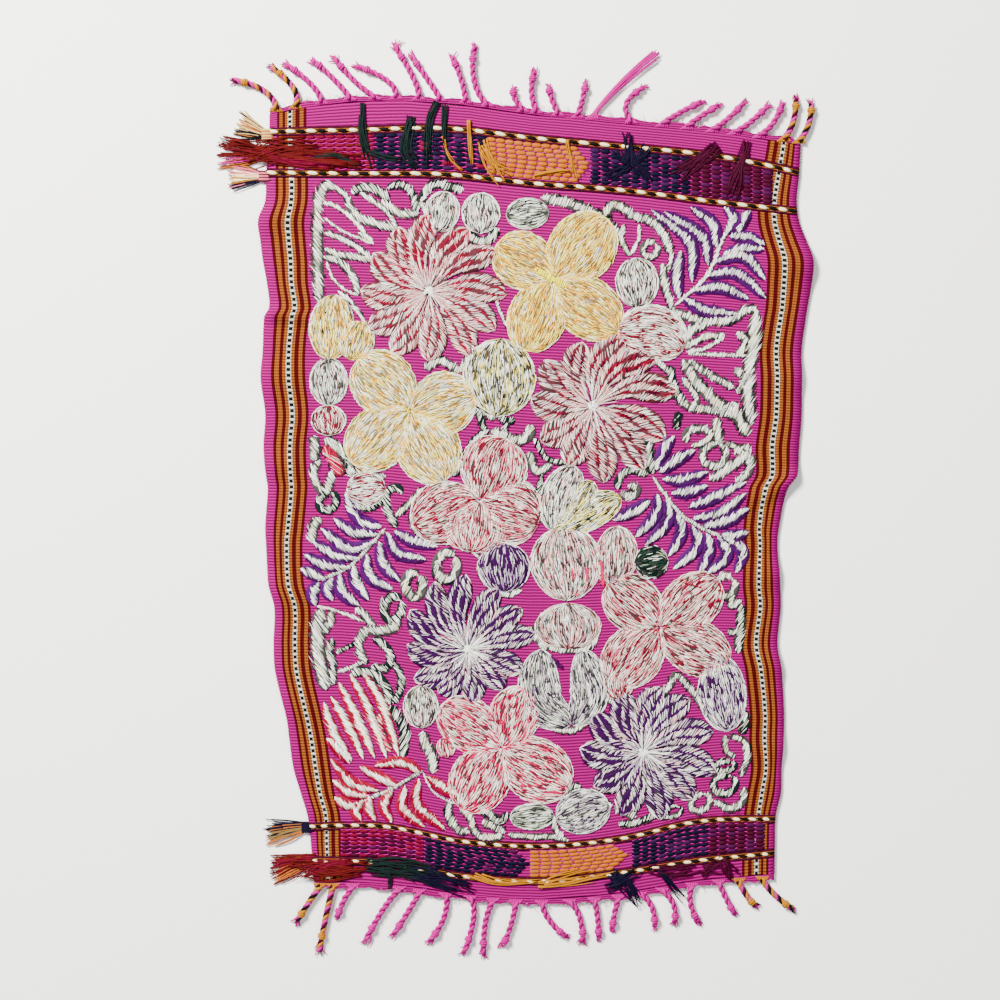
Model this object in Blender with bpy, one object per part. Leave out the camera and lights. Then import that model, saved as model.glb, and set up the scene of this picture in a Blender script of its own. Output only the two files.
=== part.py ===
"""An embroidered, hand-woven cloth that lies flat: one woven sheet with raised needlework, its two
knotted fringes, the loose weft ends at its sides and the cut thread tails on its brocaded bands.

Metres, +Z up. X runs across the cloth, Y along it and Z = 0 is the surface that it lies on.
The tables are in millimetres from the middle of the view; the model is centred at the end.
"""

import math
import random
from collections import namedtuple

import bmesh
import bpy
from mathutils import Vector
from mathutils.geometry import delaunay_2d_cdt

MM = 0.001

# Driving dimensions, in millimetres
SHEET_THICK = 1.6
STITCH_RELIEF = 0.8
RELIEF_ROLL = 1.5
RIDGE_FOOT = 0.3
END_TAPER = 14.0
GAP = 0.35
STRIP_WIDTH = 3.0
CORD_WIDTH = 4.2
CORD_HEIGHT = 3.6
KNOT_WIDTH = 6.6
KNOT_HEIGHT = 5.4
LOCK_WIDTH = 1.7
LOCK_HEIGHT = 1.3
LOCK_PITCH = 0.75
HEAD_DEPTH = 3.0
BAR_WIDTH = 2.0
BAR_HEIGHT = 0.9
BAR_STEP = 15.0
TAIL_BED = SHEET_THICK + 0.45
TAIL_WAVE = 9

# How finely the outline and the ground between the motifs are divided
SIDE_STEPS = 62
END_STEPS = 40
TOP_GRID = 22.0
RIPPLE_GRID = 9.0
MERGE_DISTANCE = 0.25

# The cloth's long edges and the black and white stripe beside each, at heights y along the cloth.
# Each row is one swell, dip or tuck of the selvedges.
WarpRow = namedtuple("WarpRow", "y left_edge left_stripe right_stripe right_edge")
WARP_ROWS = (
    WarpRow(240, -138, -126, 171, 182.5),
    WarpRow(220, -138, -126, 171, 180.5),
    WarpRow(195, -140, -125, 167, 179),
    WarpRow(179, -140.5, -125, 164.5, 177.5),
    WarpRow(167, -144.5, -127, 164.5, 179),
    WarpRow(156, -143.5, -126.5, 167, 183),
    WarpRow(144, -142, -125.5, 170, 187),
    WarpRow(130, -139.5, -125, 170, 186.5),
    WarpRow(115, -138, -123, 169, 184),
    WarpRow(109, -141, -124.5, 168, 183),
    WarpRow(90, -142, -126.5, 165.5, 180.5),
    WarpRow(73, -143, -126.5, 166, 180.5),
    WarpRow(51, -140.5, -124.5, 165.5, 180.5),
    WarpRow(32, -141.5, -126, 163, 179),
    WarpRow(15, -140, -125.5, 163, 177.5),
    WarpRow(7, -139, -125, 159, 172),
    WarpRow(-16, -140.5, -127, 155.5, 167),
    WarpRow(-27, -140, -128, 156, 166),
    WarpRow(-50, -138.5, -127, 155, 167.5),
    WarpRow(-64, -135, -123, 156, 168),
    WarpRow(-87, -135.5, -123, 153.5, 166),
    WarpRow(-103, -134.5, -122, 156.5, 168.5),
    WarpRow(-129, -128, -116, 159, 170),
    WarpRow(-144, -126, -113, 158.5, 169.5),
    WarpRow(-161, -123.5, -110.5, 159.5, 168.5),
    WarpRow(-176, -119, -108, 157, 168),
    WarpRow(-189, -115, -104.5, 155, 165),
    WarpRow(-207, -113, -104, 154, 164.5),
    WarpRow(-240, -110.5, -102.5, 153.5, 164),
)
LEFT_STRIPE_SHARE = 0.048
RIGHT_STRIPE_SHARE = 0.955

# The six weft lines that bound the end strips and bands: how far along the cloth each lies, and
# its height y at equal steps across, from the left edge to the right.
WeftLine = namedtuple("WeftLine", "name along heights")
WEFT_LINES = (
    WeftLine("top_edge", 0, (231, 238.5, 237.5, 230.5, 225, 219.5, 212.5)),
    WeftLine("top_band_outer", 15, (220.5, 221.5, 222.5, 216.5, 211.5, 206, 196)),
    WeftLine("top_band_inner", 41, (196, 195.5, 195, 189.5, 185.5, 179, 173)),
    WeftLine("low_band_inner", 430, (-195.5, -195.5, -204.5, -207.5, -203, -192.5, -191)),
    WeftLine("low_band_outer", 452, (-216, -217.5, -225.5, -228.5, -223.5, -216, -211.5)),
    WeftLine("low_edge", 463, (-228.5, -230, -236, -239, -235.5, -228, -224)),
)
CLOTH_LENGTH = WEFT_LINES[-1].along
CLOTH_WIDTH = 310

# Soft ridges where the selvedges are slack or tucked and the sheet stands off the table
Ridge = namedtuple("Ridge", "x y angle length width height")
RIDGES = (
    Ridge(-142, 168, 10, 26, 10, 3.2),
    Ridge(-139, 112, -6, 30, 5, 3.6),
    Ridge(-141, 72, 4, 24, 12, 2.4),
    Ridge(-140, 20, 0, 22, 9, 2.2),
    Ridge(-138, -55, -10, 26, 11, 2.6),
    Ridge(-130, -122, -14, 24, 10, 2.2),
    Ridge(-116, -186, -18, 20, 9, 1.8),
    Ridge(185, 142, -8, 32, 11, 3.8),
    Ridge(180, 74, 0, 24, 10, 2.4),
    Ridge(176, 12, 24, 30, 6, 3.8),
    Ridge(168, -44, 8, 22, 9, 2.4),
    Ridge(168, -98, -6, 24, 9, 2.6),
    Ridge(168, -148, 0, 22, 9, 2.2),
)

# Needlework, as simple plump shapes; x, y and sizes in millimetres, turns in degrees
Pinwheel = namedtuple("Pinwheel", "x y radius petals turn")
PINWHEELS = (
    Pinwheel(-43, 126, 43, 12, 8),
    Pinwheel(55.5, 56, 41, 12, 20),
    Pinwheel(-20.5, -87, 40, 12, 0),
    Pinwheel(87, -151, 41, 12, 12),
)
# A rosette is its centre and its broad petals, each given as turn, length and width
Rosette = namedtuple("Rosette", "x y petals")
ROSETTES = (
    Rosette(30.5, 132, ((143, 38, 35), (43, 50, 40), (250, 47, 34), (325, 50, 36))),
    Rosette(-54, 53.5, ((131, 44, 40), (27, 41, 40), (222, 46, 37), (296, 46, 38))),
    Rosette(-13, 0, ((68, 37, 42), (348, 38, 40), (193, 41, 38), (272, 30, 42))),
    Rosette(96, -68.5, ((152, 39, 31), (28, 41, 31), (225, 45, 34), (325, 47, 33))),
    Rosette(40, -64, ((92, 45, 41), (43, 54, 23), (272, 27, 40))),
    Rosette(0.5, -148, ((144, 45, 34), (60, 42, 27), (231, 43, 33), (330, 47, 36))),
)
# Hearts, whose two lobes meet at the point that the turn aims at
Heart = namedtuple("Heart", "x y length width turn")
HEARTS = (
    Heart(48, 1, 44, 42, 222),
    Heart(35.5, -112, 48, 48, 285),
)
Bud = namedtuple("Bud", "x y length width turn")
BUDS = (
    Bud(-33, 172, 22, 21, 90),
    Bud(-9.5, 171.5, 25, 24, 90),
    Bud(16, 171, 24, 20, 0),
    Bud(-97, 103, 40, 34, 60),
    Bud(-103, 70, 26, 22, 90),
    Bud(-102, 47, 20, 20, 90),
    Bud(0, 72, 46, 40, 100),
    Bud(83, 130, 28, 25, 90),
    Bud(90, 97, 40, 34, 150),
    Bud(-79, 6, 22, 18, 0),
    Bud(3.5, -41, 29, 28, 90),
    Bud(90.5, -37, 19, 18, 0),
    Bud(-47.5, -124, 25, 20, 90),
    Bud(70, -110, 18, 17, 90),
    Bud(131, -114, 38, 30, 80),
    Bud(53, -186, 34, 26, 15),
    Bud(18, -190, 26, 14, 0),
)
# Sprays of leaflets along a stem
Frond = namedtuple("Frond", "x0 y0 x1 y1 leaflets length width sweep")
FRONDS = (
    Frond(104, 119, 148, 172, 5, 29, 6, 38),
    Frond(-68, -19, -110, -49, 5, 27, 6, 36),
    Frond(90.5, 17, 127, -29, 5, 33, 6, 40),
    Frond(-47, -163, -94, -184, 5, 23, 5, 40),
)
# Bars of satin stitch: scrolls, loops and the outlines that fill the corners
Stroke = namedtuple("Stroke", "x0 y0 x1 y1 bend width")
STROKES = (
    Stroke(-108, 186, -109, 122, 0.02, 6),
    Stroke(-106, 187, -60, 157, -0.22, 5),
    Stroke(-92, 180, -62, 157, 0.18, 5),
    Stroke(-82, 184, -50, 173, -0.3, 6),
    Stroke(-104, 172, -77, 152, -0.1, 4),
    Stroke(-104, 158, -79, 144, 0.1, 4),
    Stroke(-102, 140, -86, 123, -0.25, 5),
    Stroke(-48, 178, -22, 187, -0.25, 5),
    Stroke(26, 184, 72, 162, -0.12, 6),
    Stroke(62, 176, 94, 160, -0.4, 6),
    Stroke(92, 160, 108, 128, -0.1, 4),
    Stroke(105, 114, 142, 110, 0.08, 5),
    Stroke(110, 90, 150, 106, -0.1, 5),
    Stroke(153, 112, 151, 50, 0.02, 6),
    Stroke(112, 85, 152, 86, 0.04, 4),
    Stroke(112, 80, 148, 55, 0.05, 5),
    Stroke(106, 76, 134, 52, 0.1, 5),
    Stroke(92, 18, 78, 6, 0.5, 5),
    Stroke(-110, 36, -112, -22, 0.05, 6),
    Stroke(-96, 34, -84, 14, 0.1, 5),
    Stroke(-64, 6, -60, -12, 0.2, 5),
    Stroke(-108, -68, -104, -104, 0.02, 8),
    Stroke(-82, -70, -72, -100, 0.2, 6),
    Stroke(-70, -78, -52, -112, -0.2, 5),
    Stroke(-98, -113, -72, -156, 0.02, 5),
    Stroke(-88, -108, -60, -154, 0.02, 5),
    Stroke(-76, -104, -50, -146, 0.02, 5),
    Stroke(-104, -126, -88, -158, 0.02, 5),
    Stroke(-40, -186, 8, -203, 0.12, 5),
    Stroke(142, -52, 143, -96, 0.05, 5),
    Stroke(72, -190, 104, -182, 0.12, 4),
    Stroke(104, -184, 134, -168, -0.1, 5),
    Stroke(140, -176, 142, -138, 0.06, 5),
)
# Small rings of satin stitch
Ring = namedtuple("Ring", "x y radius width")
RINGS = (
    Ring(90, 149, 8, 5),
    Ring(128, 26, 9, 5),
    Ring(-31, -39, 9, 5),
    Ring(-51, -50, 8, 5),
    Ring(-65, -64, 8, 5),
    Ring(135, -52, 8, 5),
    Ring(136, -156, 8, 5),
)

# Fringe cords: where each leaves the end of the cloth, then its middle and its tip from there
Cord = namedtuple("Cord", "root mid_x mid_y tip_x tip_y")
TOP_CORDS = (
    Cord(-134, -8.5, 12, -29.5, 18),
    Cord(-122.5, -2, 12, -18, 26),
    Cord(-106.5, -8, 12, -25, 24.5),
    Cord(-89.5, -11.5, 13, -25, 24.5),
    Cord(-74.5, -13, 10, -27, 26),
    Cord(-62, -7, 11, -29, 20),
    Cord(-48.5, -4, 13, -17.5, 35.5),
    Cord(-35.5, -8, 12, -20, 29),
    Cord(-20.5, -3, 14, -9.5, 29),
    Cord(-7, -8.5, 14.5, -8, 39.5),
    Cord(14, -5, 6.5, -6, 13),
    Cord(22, -3, 12, -1, 26),
    Cord(35, -4, 9, -6, 17),
    Cord(46.5, 3, 10, 5, 21),
    Cord(55, 17, 19, 38.5, 37),
    Cord(79, -3, 11, 10, 22),
    Cord(97, 11, 7, 26, 14.5),
    Cord(112, 8, 6, 21.5, 14.5),
    Cord(127, 9, 6, 21, 18),
    Cord(140, 10, 6, 22.5, 18),
    Cord(155, 9, 8, 15, 22),
    Cord(170, 6, 11.5, 7, 27),
    Cord(179, 6, 10.5, 7.5, 25),
)
LOW_CORDS = (
    Cord(-107.5, -6.5, -9, -16, -24),
    Cord(-100, -3.5, -14, -10, -46),
    Cord(-88, -6, -9, -10, -20),
    Cord(-60, -10, -12, -23, -35),
    Cord(-48, -6.5, -11, -18, -29),
    Cord(-32.5, -1.5, -14, -12, -30),
    Cord(-18, 2, -12, -5, -37),
    Cord(-4, -5, -14, -6, -36),
    Cord(9.5, -3.5, -15, -9, -28),
    Cord(25, 5, -11, 17, -22),
    Cord(41.5, 6, -9, 8.5, -27),
    Cord(56.5, 2, -12, 2.5, -24),
    Cord(71, -2.5, -9.5, -4, -20),
    Cord(84, 7, -8, 8.5, -22),
    Cord(97, 7, -9, 7, -21),
    Cord(115, -1, -11, 5, -24),
    Cord(131, 4, -9, 10, -20),
    Cord(143, 4, -8, 11, -16),
    Cord(157, 7, -9, 21, -20),
)

# Loose weft ends at the left edge, fanned out from a small head
Tassel = namedtuple("Tassel", "name colour y turn fan reach locks")
TASSELS = (
    Tassel("weft_ends_gold_top", "gold", 219, 158, 26, 20, 7),
    Tassel("weft_ends_red_top", "red", 207, 178, 13, 30, 9),
    Tassel("weft_ends_cream_top", "gold", 194, 186, 17, 22, 7),
    Tassel("weft_ends_navy_low", "navy", -196, 196, 12, 26, 7),
    Tassel("weft_ends_red_low", "red", -216, 196, 16, 25, 9),
)

# Cut thread tails that lie on the bands, each from a short bar where the threads leave the weave
Tails = namedtuple("Tails", "name colour x y bar bar_turn turn fan reach locks")
TAILS = (
    Tails("tails_red_top", "red", -88, 202, 11, 90, 178, 9, 48, 5),
    Tails("tails_green_top", "green", -55, 201, 46, 0, 92, 8, 36, 7),
    Tails("tails_gold_top", "gold", 16, 192, 48, -4, 100, 34, 20, 7),
    Tails("tails_navy_top", "navy", 78, 193, 7, 0, 95, 84, 19, 9),
    Tails("tails_wine_top", "wine", 123, 187, 42, -18, 68, 16, 24, 6),
    Tails("tails_red_low", "red", -83, -221, 11, 90, 178, 12, 28, 5),
    Tails("tails_green_low", "green", -41, -219, 46, -12, 228, 22, 15, 8),
    Tails("tails_gold_low", "gold", 24, -224, 60, 0, 84, 46, 12, 8),
    Tails("tails_navy_low", "navy", 80, -219, 24, 12, 250, 35, 17, 8),
    Tails("tails_wine_low", "wine", 126, -206, 30, 8, 262, 30, 18, 7),
)

COLOURS = {
    "magenta": (0.60, 0.06, 0.31),
    "pink": (0.68, 0.10, 0.40),
    "red": (0.28, 0.03, 0.03),
    "green": (0.01, 0.05, 0.045),
    "gold": (0.55, 0.25, 0.03),
    "navy": (0.015, 0.015, 0.08),
    "wine": (0.17, 0.01, 0.05),
}


def eased(knots, values, at):
    """A smooth curve through the values, level with their neighbours' slope at each knot."""
    last = len(knots) - 1
    at = min(max(at, knots[0]), knots[last])
    i = next(k for k in range(last) if at <= knots[k + 1])
    span = knots[i + 1] - knots[i]
    share = (at - knots[i]) / span

    def slope(k):
        low, high = max(k - 1, 0), min(k + 1, last)
        return (values[high] - values[low]) / (knots[high] - knots[low]) * span

    step = values[i + 1] - values[i]
    curve = slope(i) * share * (1 - share) ** 2 - slope(i + 1) * share**2 * (1 - share)
    return values[i] + step * share * share * (3 - 2 * share) + curve


WARP_TABLE = sorted(WARP_ROWS)
WARP_HEIGHTS = [row.y for row in WARP_TABLE]
WARP_COLUMNS = list(zip(*WARP_TABLE))[1:]


def warp_x(share, y):
    """X of the warp thread that lies this share of the way across, at height y."""
    marks = (0.0, LEFT_STRIPE_SHARE, RIGHT_STRIPE_SHARE, 1.0)
    i = max(k for k in range(3) if share >= marks[k])
    inner = eased(WARP_HEIGHTS, WARP_COLUMNS[i], y)
    outer = eased(WARP_HEIGHTS, WARP_COLUMNS[i + 1], y)
    return inner + (outer - inner) * (share - marks[i]) / (marks[i + 1] - marks[i])


def weft_y(line, share):
    """Height of one weft line at this share of the way across."""
    steps = [k / (len(line.heights) - 1) for k in range(len(line.heights))]
    return eased(steps, line.heights, share)


def cloth_point(share, along):
    """The place on the table of a point of the cloth: its share across and its distance along."""
    i = max(k for k in range(len(WEFT_LINES) - 1) if along >= WEFT_LINES[k].along)
    first, second = WEFT_LINES[i], WEFT_LINES[i + 1]
    part = (along - first.along) / (second.along - first.along)
    y = weft_y(first, share) * (1 - part) + weft_y(second, share) * part
    return Vector((warp_x(share, y), y))


def outline():
    """The cloth's edge, counter-clockwise from its upper left corner."""
    down = [k / SIDE_STEPS * CLOTH_LENGTH for k in range(SIDE_STEPS)]
    across = [k / END_STEPS for k in range(END_STEPS)]
    left = [cloth_point(0, along) for along in down]
    low = [cloth_point(share, CLOTH_LENGTH) for share in across]
    right = [cloth_point(1, CLOTH_LENGTH - along) for along in down]
    top = [cloth_point(1 - share, 0) for share in across]
    return left + low + right + top


def smoothstep(value):
    value = min(max(value, 0.0), 1.0)
    return value * value * (3 - 2 * value)


def share_across(x, y):
    left, right = warp_x(0, y), warp_x(1, y)
    return min(max((x - left) / (right - left), 0.0), 1.0)


def inset_between(first, second, x, y):
    """How far a point lies inside the part of the cloth between two weft lines."""
    share = share_across(x, y)
    return min(weft_y(first, share) - y, y - weft_y(second, share))


def lift(x, y):
    """How far the underside stands off the table; zero at both fringed ends."""
    total = 0.0
    for ridge in RIDGES:
        turn = math.radians(ridge.angle)
        dx, dy = x - ridge.x, y - ridge.y
        lengthwise = (dx * math.cos(turn) + dy * math.sin(turn)) / ridge.length
        crosswise = (dy * math.cos(turn) - dx * math.sin(turn)) / ridge.width
        total += ridge.height * math.exp(-(lengthwise**2) - crosswise**2)
    inset = inset_between(WEFT_LINES[0], WEFT_LINES[-1], x, y)
    return max(total - RIDGE_FOOT, 0.0) * smoothstep(inset / END_TAPER)


def at_turn(turn, distance):
    return Vector((math.cos(math.radians(turn)), math.sin(math.radians(turn)))) * distance


def lobe(base, tip, width, bend=0.0, belly=1.0, blunt=0.7, steps=4):
    """Outline of a petal, leaf or bar whose middle line bends from base to tip."""
    run = tip - base
    normal = Vector((-run.y, run.x))
    bow = base.lerp(tip, 0.5) + normal * bend * 2

    def side(share, sign):
        middle = base.lerp(bow, share).lerp(bow.lerp(tip, share), share)
        heading = (bow - base).lerp(tip - bow, share).normalized()
        half = width / 2 * max(math.sin(math.pi * share**belly), 0.0) ** blunt
        return middle + Vector((-heading.y, heading.x)) * half * sign

    shares = [k / steps for k in range(steps + 1)]
    up = [side(share, -1) for share in shares]
    back = [side(share, 1) for share in reversed(shares[1:-1])]
    return up + back


def raised_lobe(base, tip, width, **form):
    """A lobe's outline and, set in from it, the line where its roll reaches full height."""
    inset = min(RELIEF_ROLL, width * 0.3)
    pull = (tip - base).normalized() * inset
    crest = lobe(base + pull, tip - pull, width - 2 * inset, **form)
    return lobe(base, tip, width, **form), crest


def raised_ring(ring, steps=9):
    centre = Vector((ring.x, ring.y))
    turns = [k * 360 / steps for k in range(steps)]
    outer = [centre + at_turn(turn, ring.radius + ring.width / 2) for turn in turns]
    crest = [centre + at_turn(turn, ring.radius) for turn in turns]
    return outer, crest


def heart_lobes(heart):
    """The two halves of a heart, side by side and joined at its point."""
    centre = Vector((heart.x, heart.y))
    point = centre + at_turn(heart.turn, heart.length / 2)
    for side in (-1, 1):
        top = centre + at_turn(heart.turn, -heart.length / 2)
        top += at_turn(heart.turn + 90 * side, heart.width * 0.24)
        width = heart.width * 0.56
        yield raised_lobe(point, top, width, bend=0.06 * side, belly=1.3, blunt=0.6, steps=6)


def frond_lobes(frond):
    """Leaflets in pairs along a stem, shorter towards its end."""
    base, end = Vector((frond.x0, frond.y0)), Vector((frond.x1, frond.y1))
    heading = math.degrees(math.atan2(end.y - base.y, end.x - base.x))
    for k in range(frond.leaflets):
        share = k / (frond.leaflets - 1)
        foot = base.lerp(end, share * 0.9)
        length = frond.length * (1 - 0.55 * share)
        for side in (-1, 1):
            angle = heading + side * (frond.sweep + 25 * (1 - share))
            root, tip = foot + at_turn(angle, 2.0), foot + at_turn(angle, length)
            yield raised_lobe(root, tip, frond.width, bend=-0.08 * side, blunt=0.6)


def motif_shapes():
    """Every raised shape of the needlework, as an outline and its crest."""
    shapes = []
    for flower in PINWHEELS:
        centre = Vector((flower.x, flower.y))
        width = 2 * math.pi * flower.radius * 0.6 / flower.petals
        for k in range(flower.petals):
            turn = flower.turn + k * 360 / flower.petals
            base = centre + at_turn(turn, flower.radius * 0.2)
            tip = centre + at_turn(turn - 12, flower.radius)
            shapes.append(raised_lobe(base, tip, width, bend=0.08, belly=1.4))
    for flower in ROSETTES:
        centre = Vector((flower.x, flower.y))
        for turn, length, width in flower.petals:
            tip = centre + at_turn(turn, length)
            shapes.append(raised_lobe(centre, tip, width, belly=1.25, blunt=0.55, steps=7))
    for heart in HEARTS:
        shapes.extend(heart_lobes(heart))
    for bud in BUDS:
        half = at_turn(bud.turn, bud.length / 2)
        centre = Vector((bud.x, bud.y))
        shapes.append(raised_lobe(centre - half, centre + half, bud.width, blunt=0.5, steps=6))
    for frond in FRONDS:
        shapes.extend(frond_lobes(frond))
    for bar in STROKES:
        ends = Vector((bar.x0, bar.y0)), Vector((bar.x1, bar.y1))
        shapes.append(raised_lobe(*ends, bar.width, bend=bar.bend, blunt=0.4))
    shapes.extend(raised_ring(ring) for ring in RINGS)
    return shapes


def depth_inside(point, shape):
    """How deep a point lies inside a closed outline, or zero outside it."""
    inside = False
    nearest = float("inf")
    for a, b in zip(shape, shape[1:] + shape[:1]):
        if (a.y > point.y) != (b.y > point.y):
            crossing = a.x + (point.y - a.y) / (b.y - a.y) * (b.x - a.x)
            inside ^= point.x < crossing
        run = b - a
        share = min(max((point - a).dot(run) / max(run.length_squared, 1e-9), 0.0), 1.0)
        nearest = min(nearest, (point - a - run * share).length)
    return nearest if inside else 0.0


class Relief:
    """The raised needlework as a height over the sheet."""

    def __init__(self, shapes):
        self.shapes = shapes
        self.boxes = [
            (min(p.x for p in s), max(p.x for p in s), min(p.y for p in s), max(p.y for p in s))
            for s in shapes
        ]

    def height(self, point):
        best = 0.0
        for shape, (left, right, low, high) in zip(self.shapes, self.boxes):
            if left < point.x < right and low < point.y < high:
                best = max(best, depth_inside(point, shape))
        best = min(best, max(inset_between(WEFT_LINES[2], WEFT_LINES[3], point.x, point.y), 0.0))
        return STITCH_RELIEF * math.sqrt(min(best / RELIEF_ROLL, 1.0))


def ground_grid(spacing, wanted):
    """Points of a regular grid over the cloth where the given test holds."""
    rows = int(CLOTH_LENGTH / spacing)
    columns = int(CLOTH_WIDTH / spacing)
    found = []
    for row in range(1, rows):
        for column in range(1, columns):
            point = cloth_point(column / columns, row / rows * CLOTH_LENGTH)
            if wanted(point):
                found.append(point)
    return found


def triangulate(edge, points, loops):
    """Triangles over the area inside the edge, and the index of each edge point in them."""
    places = list(edge)
    sides = [(k, (k + 1) % len(edge)) for k in range(len(edge))]
    for loop in loops:
        start = len(places)
        places.extend(loop)
        sides.extend((start + k, start + (k + 1) % len(loop)) for k in range(len(loop)))
    places.extend(points)
    found, _, faces, sources, _, _ = delaunay_2d_cdt(places, sides, [], 1, MERGE_DISTANCE)
    index = {source: k for k, group in enumerate(sources) for source in group}
    return found, faces, [index[k] for k in range(len(edge))]


def material(name):
    made = bpy.data.materials.new(name)
    made.use_nodes = True
    shader = made.node_tree.nodes["Principled BSDF"]
    shader.inputs["Base Color"].default_value = (*COLOURS[name], 1)
    shader.inputs["Roughness"].default_value = 0.85
    shader.inputs["Metallic"].default_value = 0.0
    made.diffuse_color = (*COLOURS[name], 1)
    return made


def add_object(name, mesh_builder, colour, collection=None):
    mesh = bpy.data.meshes.new(name)
    mesh_builder.to_mesh(mesh)
    mesh_builder.free()
    mesh.materials.append(colour)
    obj = bpy.data.objects.new(name, mesh)
    (collection or bpy.context.scene.collection).objects.link(obj)
    return obj


def make_cloth(colour):
    """The woven sheet: top with the needlework raised in it, flat underside and cut edge."""
    edge = outline()
    shapes, crests = zip(*motif_shapes())
    relief = Relief(shapes)
    ripples = ground_grid(RIPPLE_GRID, lambda p: lift(p.x, p.y) > 0)
    level = ground_grid(TOP_GRID, lambda p: lift(p.x, p.y) == 0)
    upper = triangulate(edge, ripples + level, shapes + crests)
    lower = triangulate(edge, ripples + level, [])
    made = bmesh.new()
    rims = []
    for places, faces, rim, is_top in ((*upper, True), (*lower, False)):
        verts = []
        for place in places:
            z = lift(place.x, place.y)
            if is_top:
                z += SHEET_THICK + relief.height(place)
            verts.append(made.verts.new(Vector((place.x, place.y, z)) * MM))
        for face in faces:
            made.faces.new([verts[k] for k in (face if is_top else face[::-1])])
        rims.append([verts[k] for k in rim])
    top_rim, low_rim = rims
    for k in range(len(edge)):
        after = (k + 1) % len(edge)
        made.faces.new((top_rim[k], low_rim[k], low_rim[after], top_rim[after]))
    bmesh.ops.recalc_face_normals(made, faces=made.faces)
    return add_object("cloth", made, colour)


def add_lock(made, route, widths, heights, sides):
    """One strand along a route of (x, y, underside) points, flat underneath, closed at both ends."""
    rings = []
    for k, (place, width, height) in enumerate(zip(route, widths, heights)):
        ahead, behind = route[min(k + 1, len(route) - 1)], route[max(k - 1, 0)]
        heading = Vector((ahead.x - behind.x, ahead.y - behind.y, 0)).normalized()
        across = Vector((-heading.y, heading.x, 0)) * width / 2
        crown = Vector((0, 0, height))
        corners = [place - across, place + across]
        if sides == 4:
            corners += [place + across * 0.7 + crown, place - across * 0.7 + crown]
        else:
            corners += [place + crown]
        rings.append([made.verts.new(corner * MM) for corner in corners])
    for first, second in zip(rings, rings[1:]):
        for k in range(sides):
            after = (k + 1) % sides
            made.faces.new((first[k], first[after], second[after], second[k]))
    made.faces.new(rings[0][::-1])
    made.faces.new(rings[-1])


def add_slab(made, inner, outer, low, high):
    """A closed strip between two rows of points, from the height low to the height high."""
    rings = []
    for a, b in zip(inner, outer):
        corners = [(a, low), (b, low), (b, high), (a, high)]
        rings.append([made.verts.new(Vector((p.x, p.y, z)) * MM) for p, z in corners])
    for first, second in zip(rings, rings[1:]):
        for k in range(4):
            after = (k + 1) % 4
            made.faces.new((first[k], first[after], second[after], second[k]))
    made.faces.new(rings[0][::-1])
    made.faces.new(rings[-1])


def fuse(backing, locks, colour):
    """Joins the strands to their backing, so that they are one solid."""
    helpers = bpy.data.collections.new(backing.name + "_locks")
    bpy.context.scene.collection.children.link(helpers)
    for k, made in enumerate(locks):
        bmesh.ops.recalc_face_normals(made, faces=made.faces)
        helper = add_object(f"{backing.name}_lock_{k}", made, colour, helpers)
        helper.hide_render = True
        helper.display_type = "WIRE"
    join = backing.modifiers.new("join", "BOOLEAN")
    join.operation = "UNION"
    join.operand_type = "COLLECTION"
    join.collection = helpers
    return backing


def curve_points(root, middle, tip, shares):
    """Points of the even curve from root to tip that passes through the middle."""
    bow = middle * 2 - (root + tip) / 2
    return [root.lerp(bow, s).lerp(bow.lerp(tip, s), s) for s in shares]


# Where a fringe cord is measured, and its width and height there: root, plied length, knot, brush
CordStation = namedtuple("CordStation", "share width height")
CORD_STATIONS = (
    CordStation(0.0, CORD_WIDTH * 0.6, SHEET_THICK * 0.6),
    CordStation(0.16, CORD_WIDTH, CORD_HEIGHT * 0.8),
    CordStation(0.36, CORD_WIDTH, CORD_HEIGHT),
    CordStation(0.56, CORD_WIDTH, CORD_HEIGHT),
    CordStation(0.69, CORD_WIDTH, CORD_HEIGHT),
    CordStation(0.78, KNOT_WIDTH, KNOT_HEIGHT),
    CordStation(0.86, CORD_WIDTH * 0.9, CORD_HEIGHT * 0.9),
    CordStation(1.0, CORD_WIDTH * 1.2, CORD_HEIGHT * 0.5),
)
ROOT_CLEARANCE = 0.2
ROOT_SHARE = 0.7


def make_fringe(name, line, outward, cords, colour):
    """A strip parted from one end of the cloth, with its plied and knotted cords."""
    shares = [k / END_STEPS for k in range(END_STEPS + 1)]
    edge = [cloth_point(share, line.along) for share in shares]
    inner = [p + Vector((0, outward * GAP)) for p in edge]
    outer = [p + Vector((0, outward * (GAP + STRIP_WIDTH))) for p in edge]
    strip = bmesh.new()
    add_slab(strip, inner, outer, 0.0, SHEET_THICK)
    bmesh.ops.recalc_face_normals(strip, faces=strip.faces)
    backing = add_object(name, strip, colour)
    locks = []
    for cord in cords:
        share = (cord.root - edge[0].x) / (edge[-1].x - edge[0].x)
        y = weft_y(line, share) + outward * (GAP + STRIP_WIDTH * ROOT_SHARE)
        root = Vector((cord.root, y, 0))
        middle = root + Vector((cord.mid_x, cord.mid_y, 0))
        tip = root + Vector((cord.tip_x, cord.tip_y, 0))
        route = curve_points(root, middle, tip, [s.share for s in CORD_STATIONS])
        route[0].z = ROOT_CLEARANCE
        made = bmesh.new()
        widths = [s.width for s in CORD_STATIONS]
        heights = [s.height for s in CORD_STATIONS]
        add_lock(made, route, widths, heights, 4)
        locks.append(made)
    return fuse(backing, locks, colour)


LOCK_SHARES = (0.0, 0.45, 1.0)
LOCK_WIDTHS = (LOCK_WIDTH, LOCK_WIDTH, LOCK_WIDTH * 0.5)
LOCK_HEIGHTS = (LOCK_HEIGHT * 0.7, LOCK_HEIGHT, LOCK_HEIGHT * 0.5)


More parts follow.
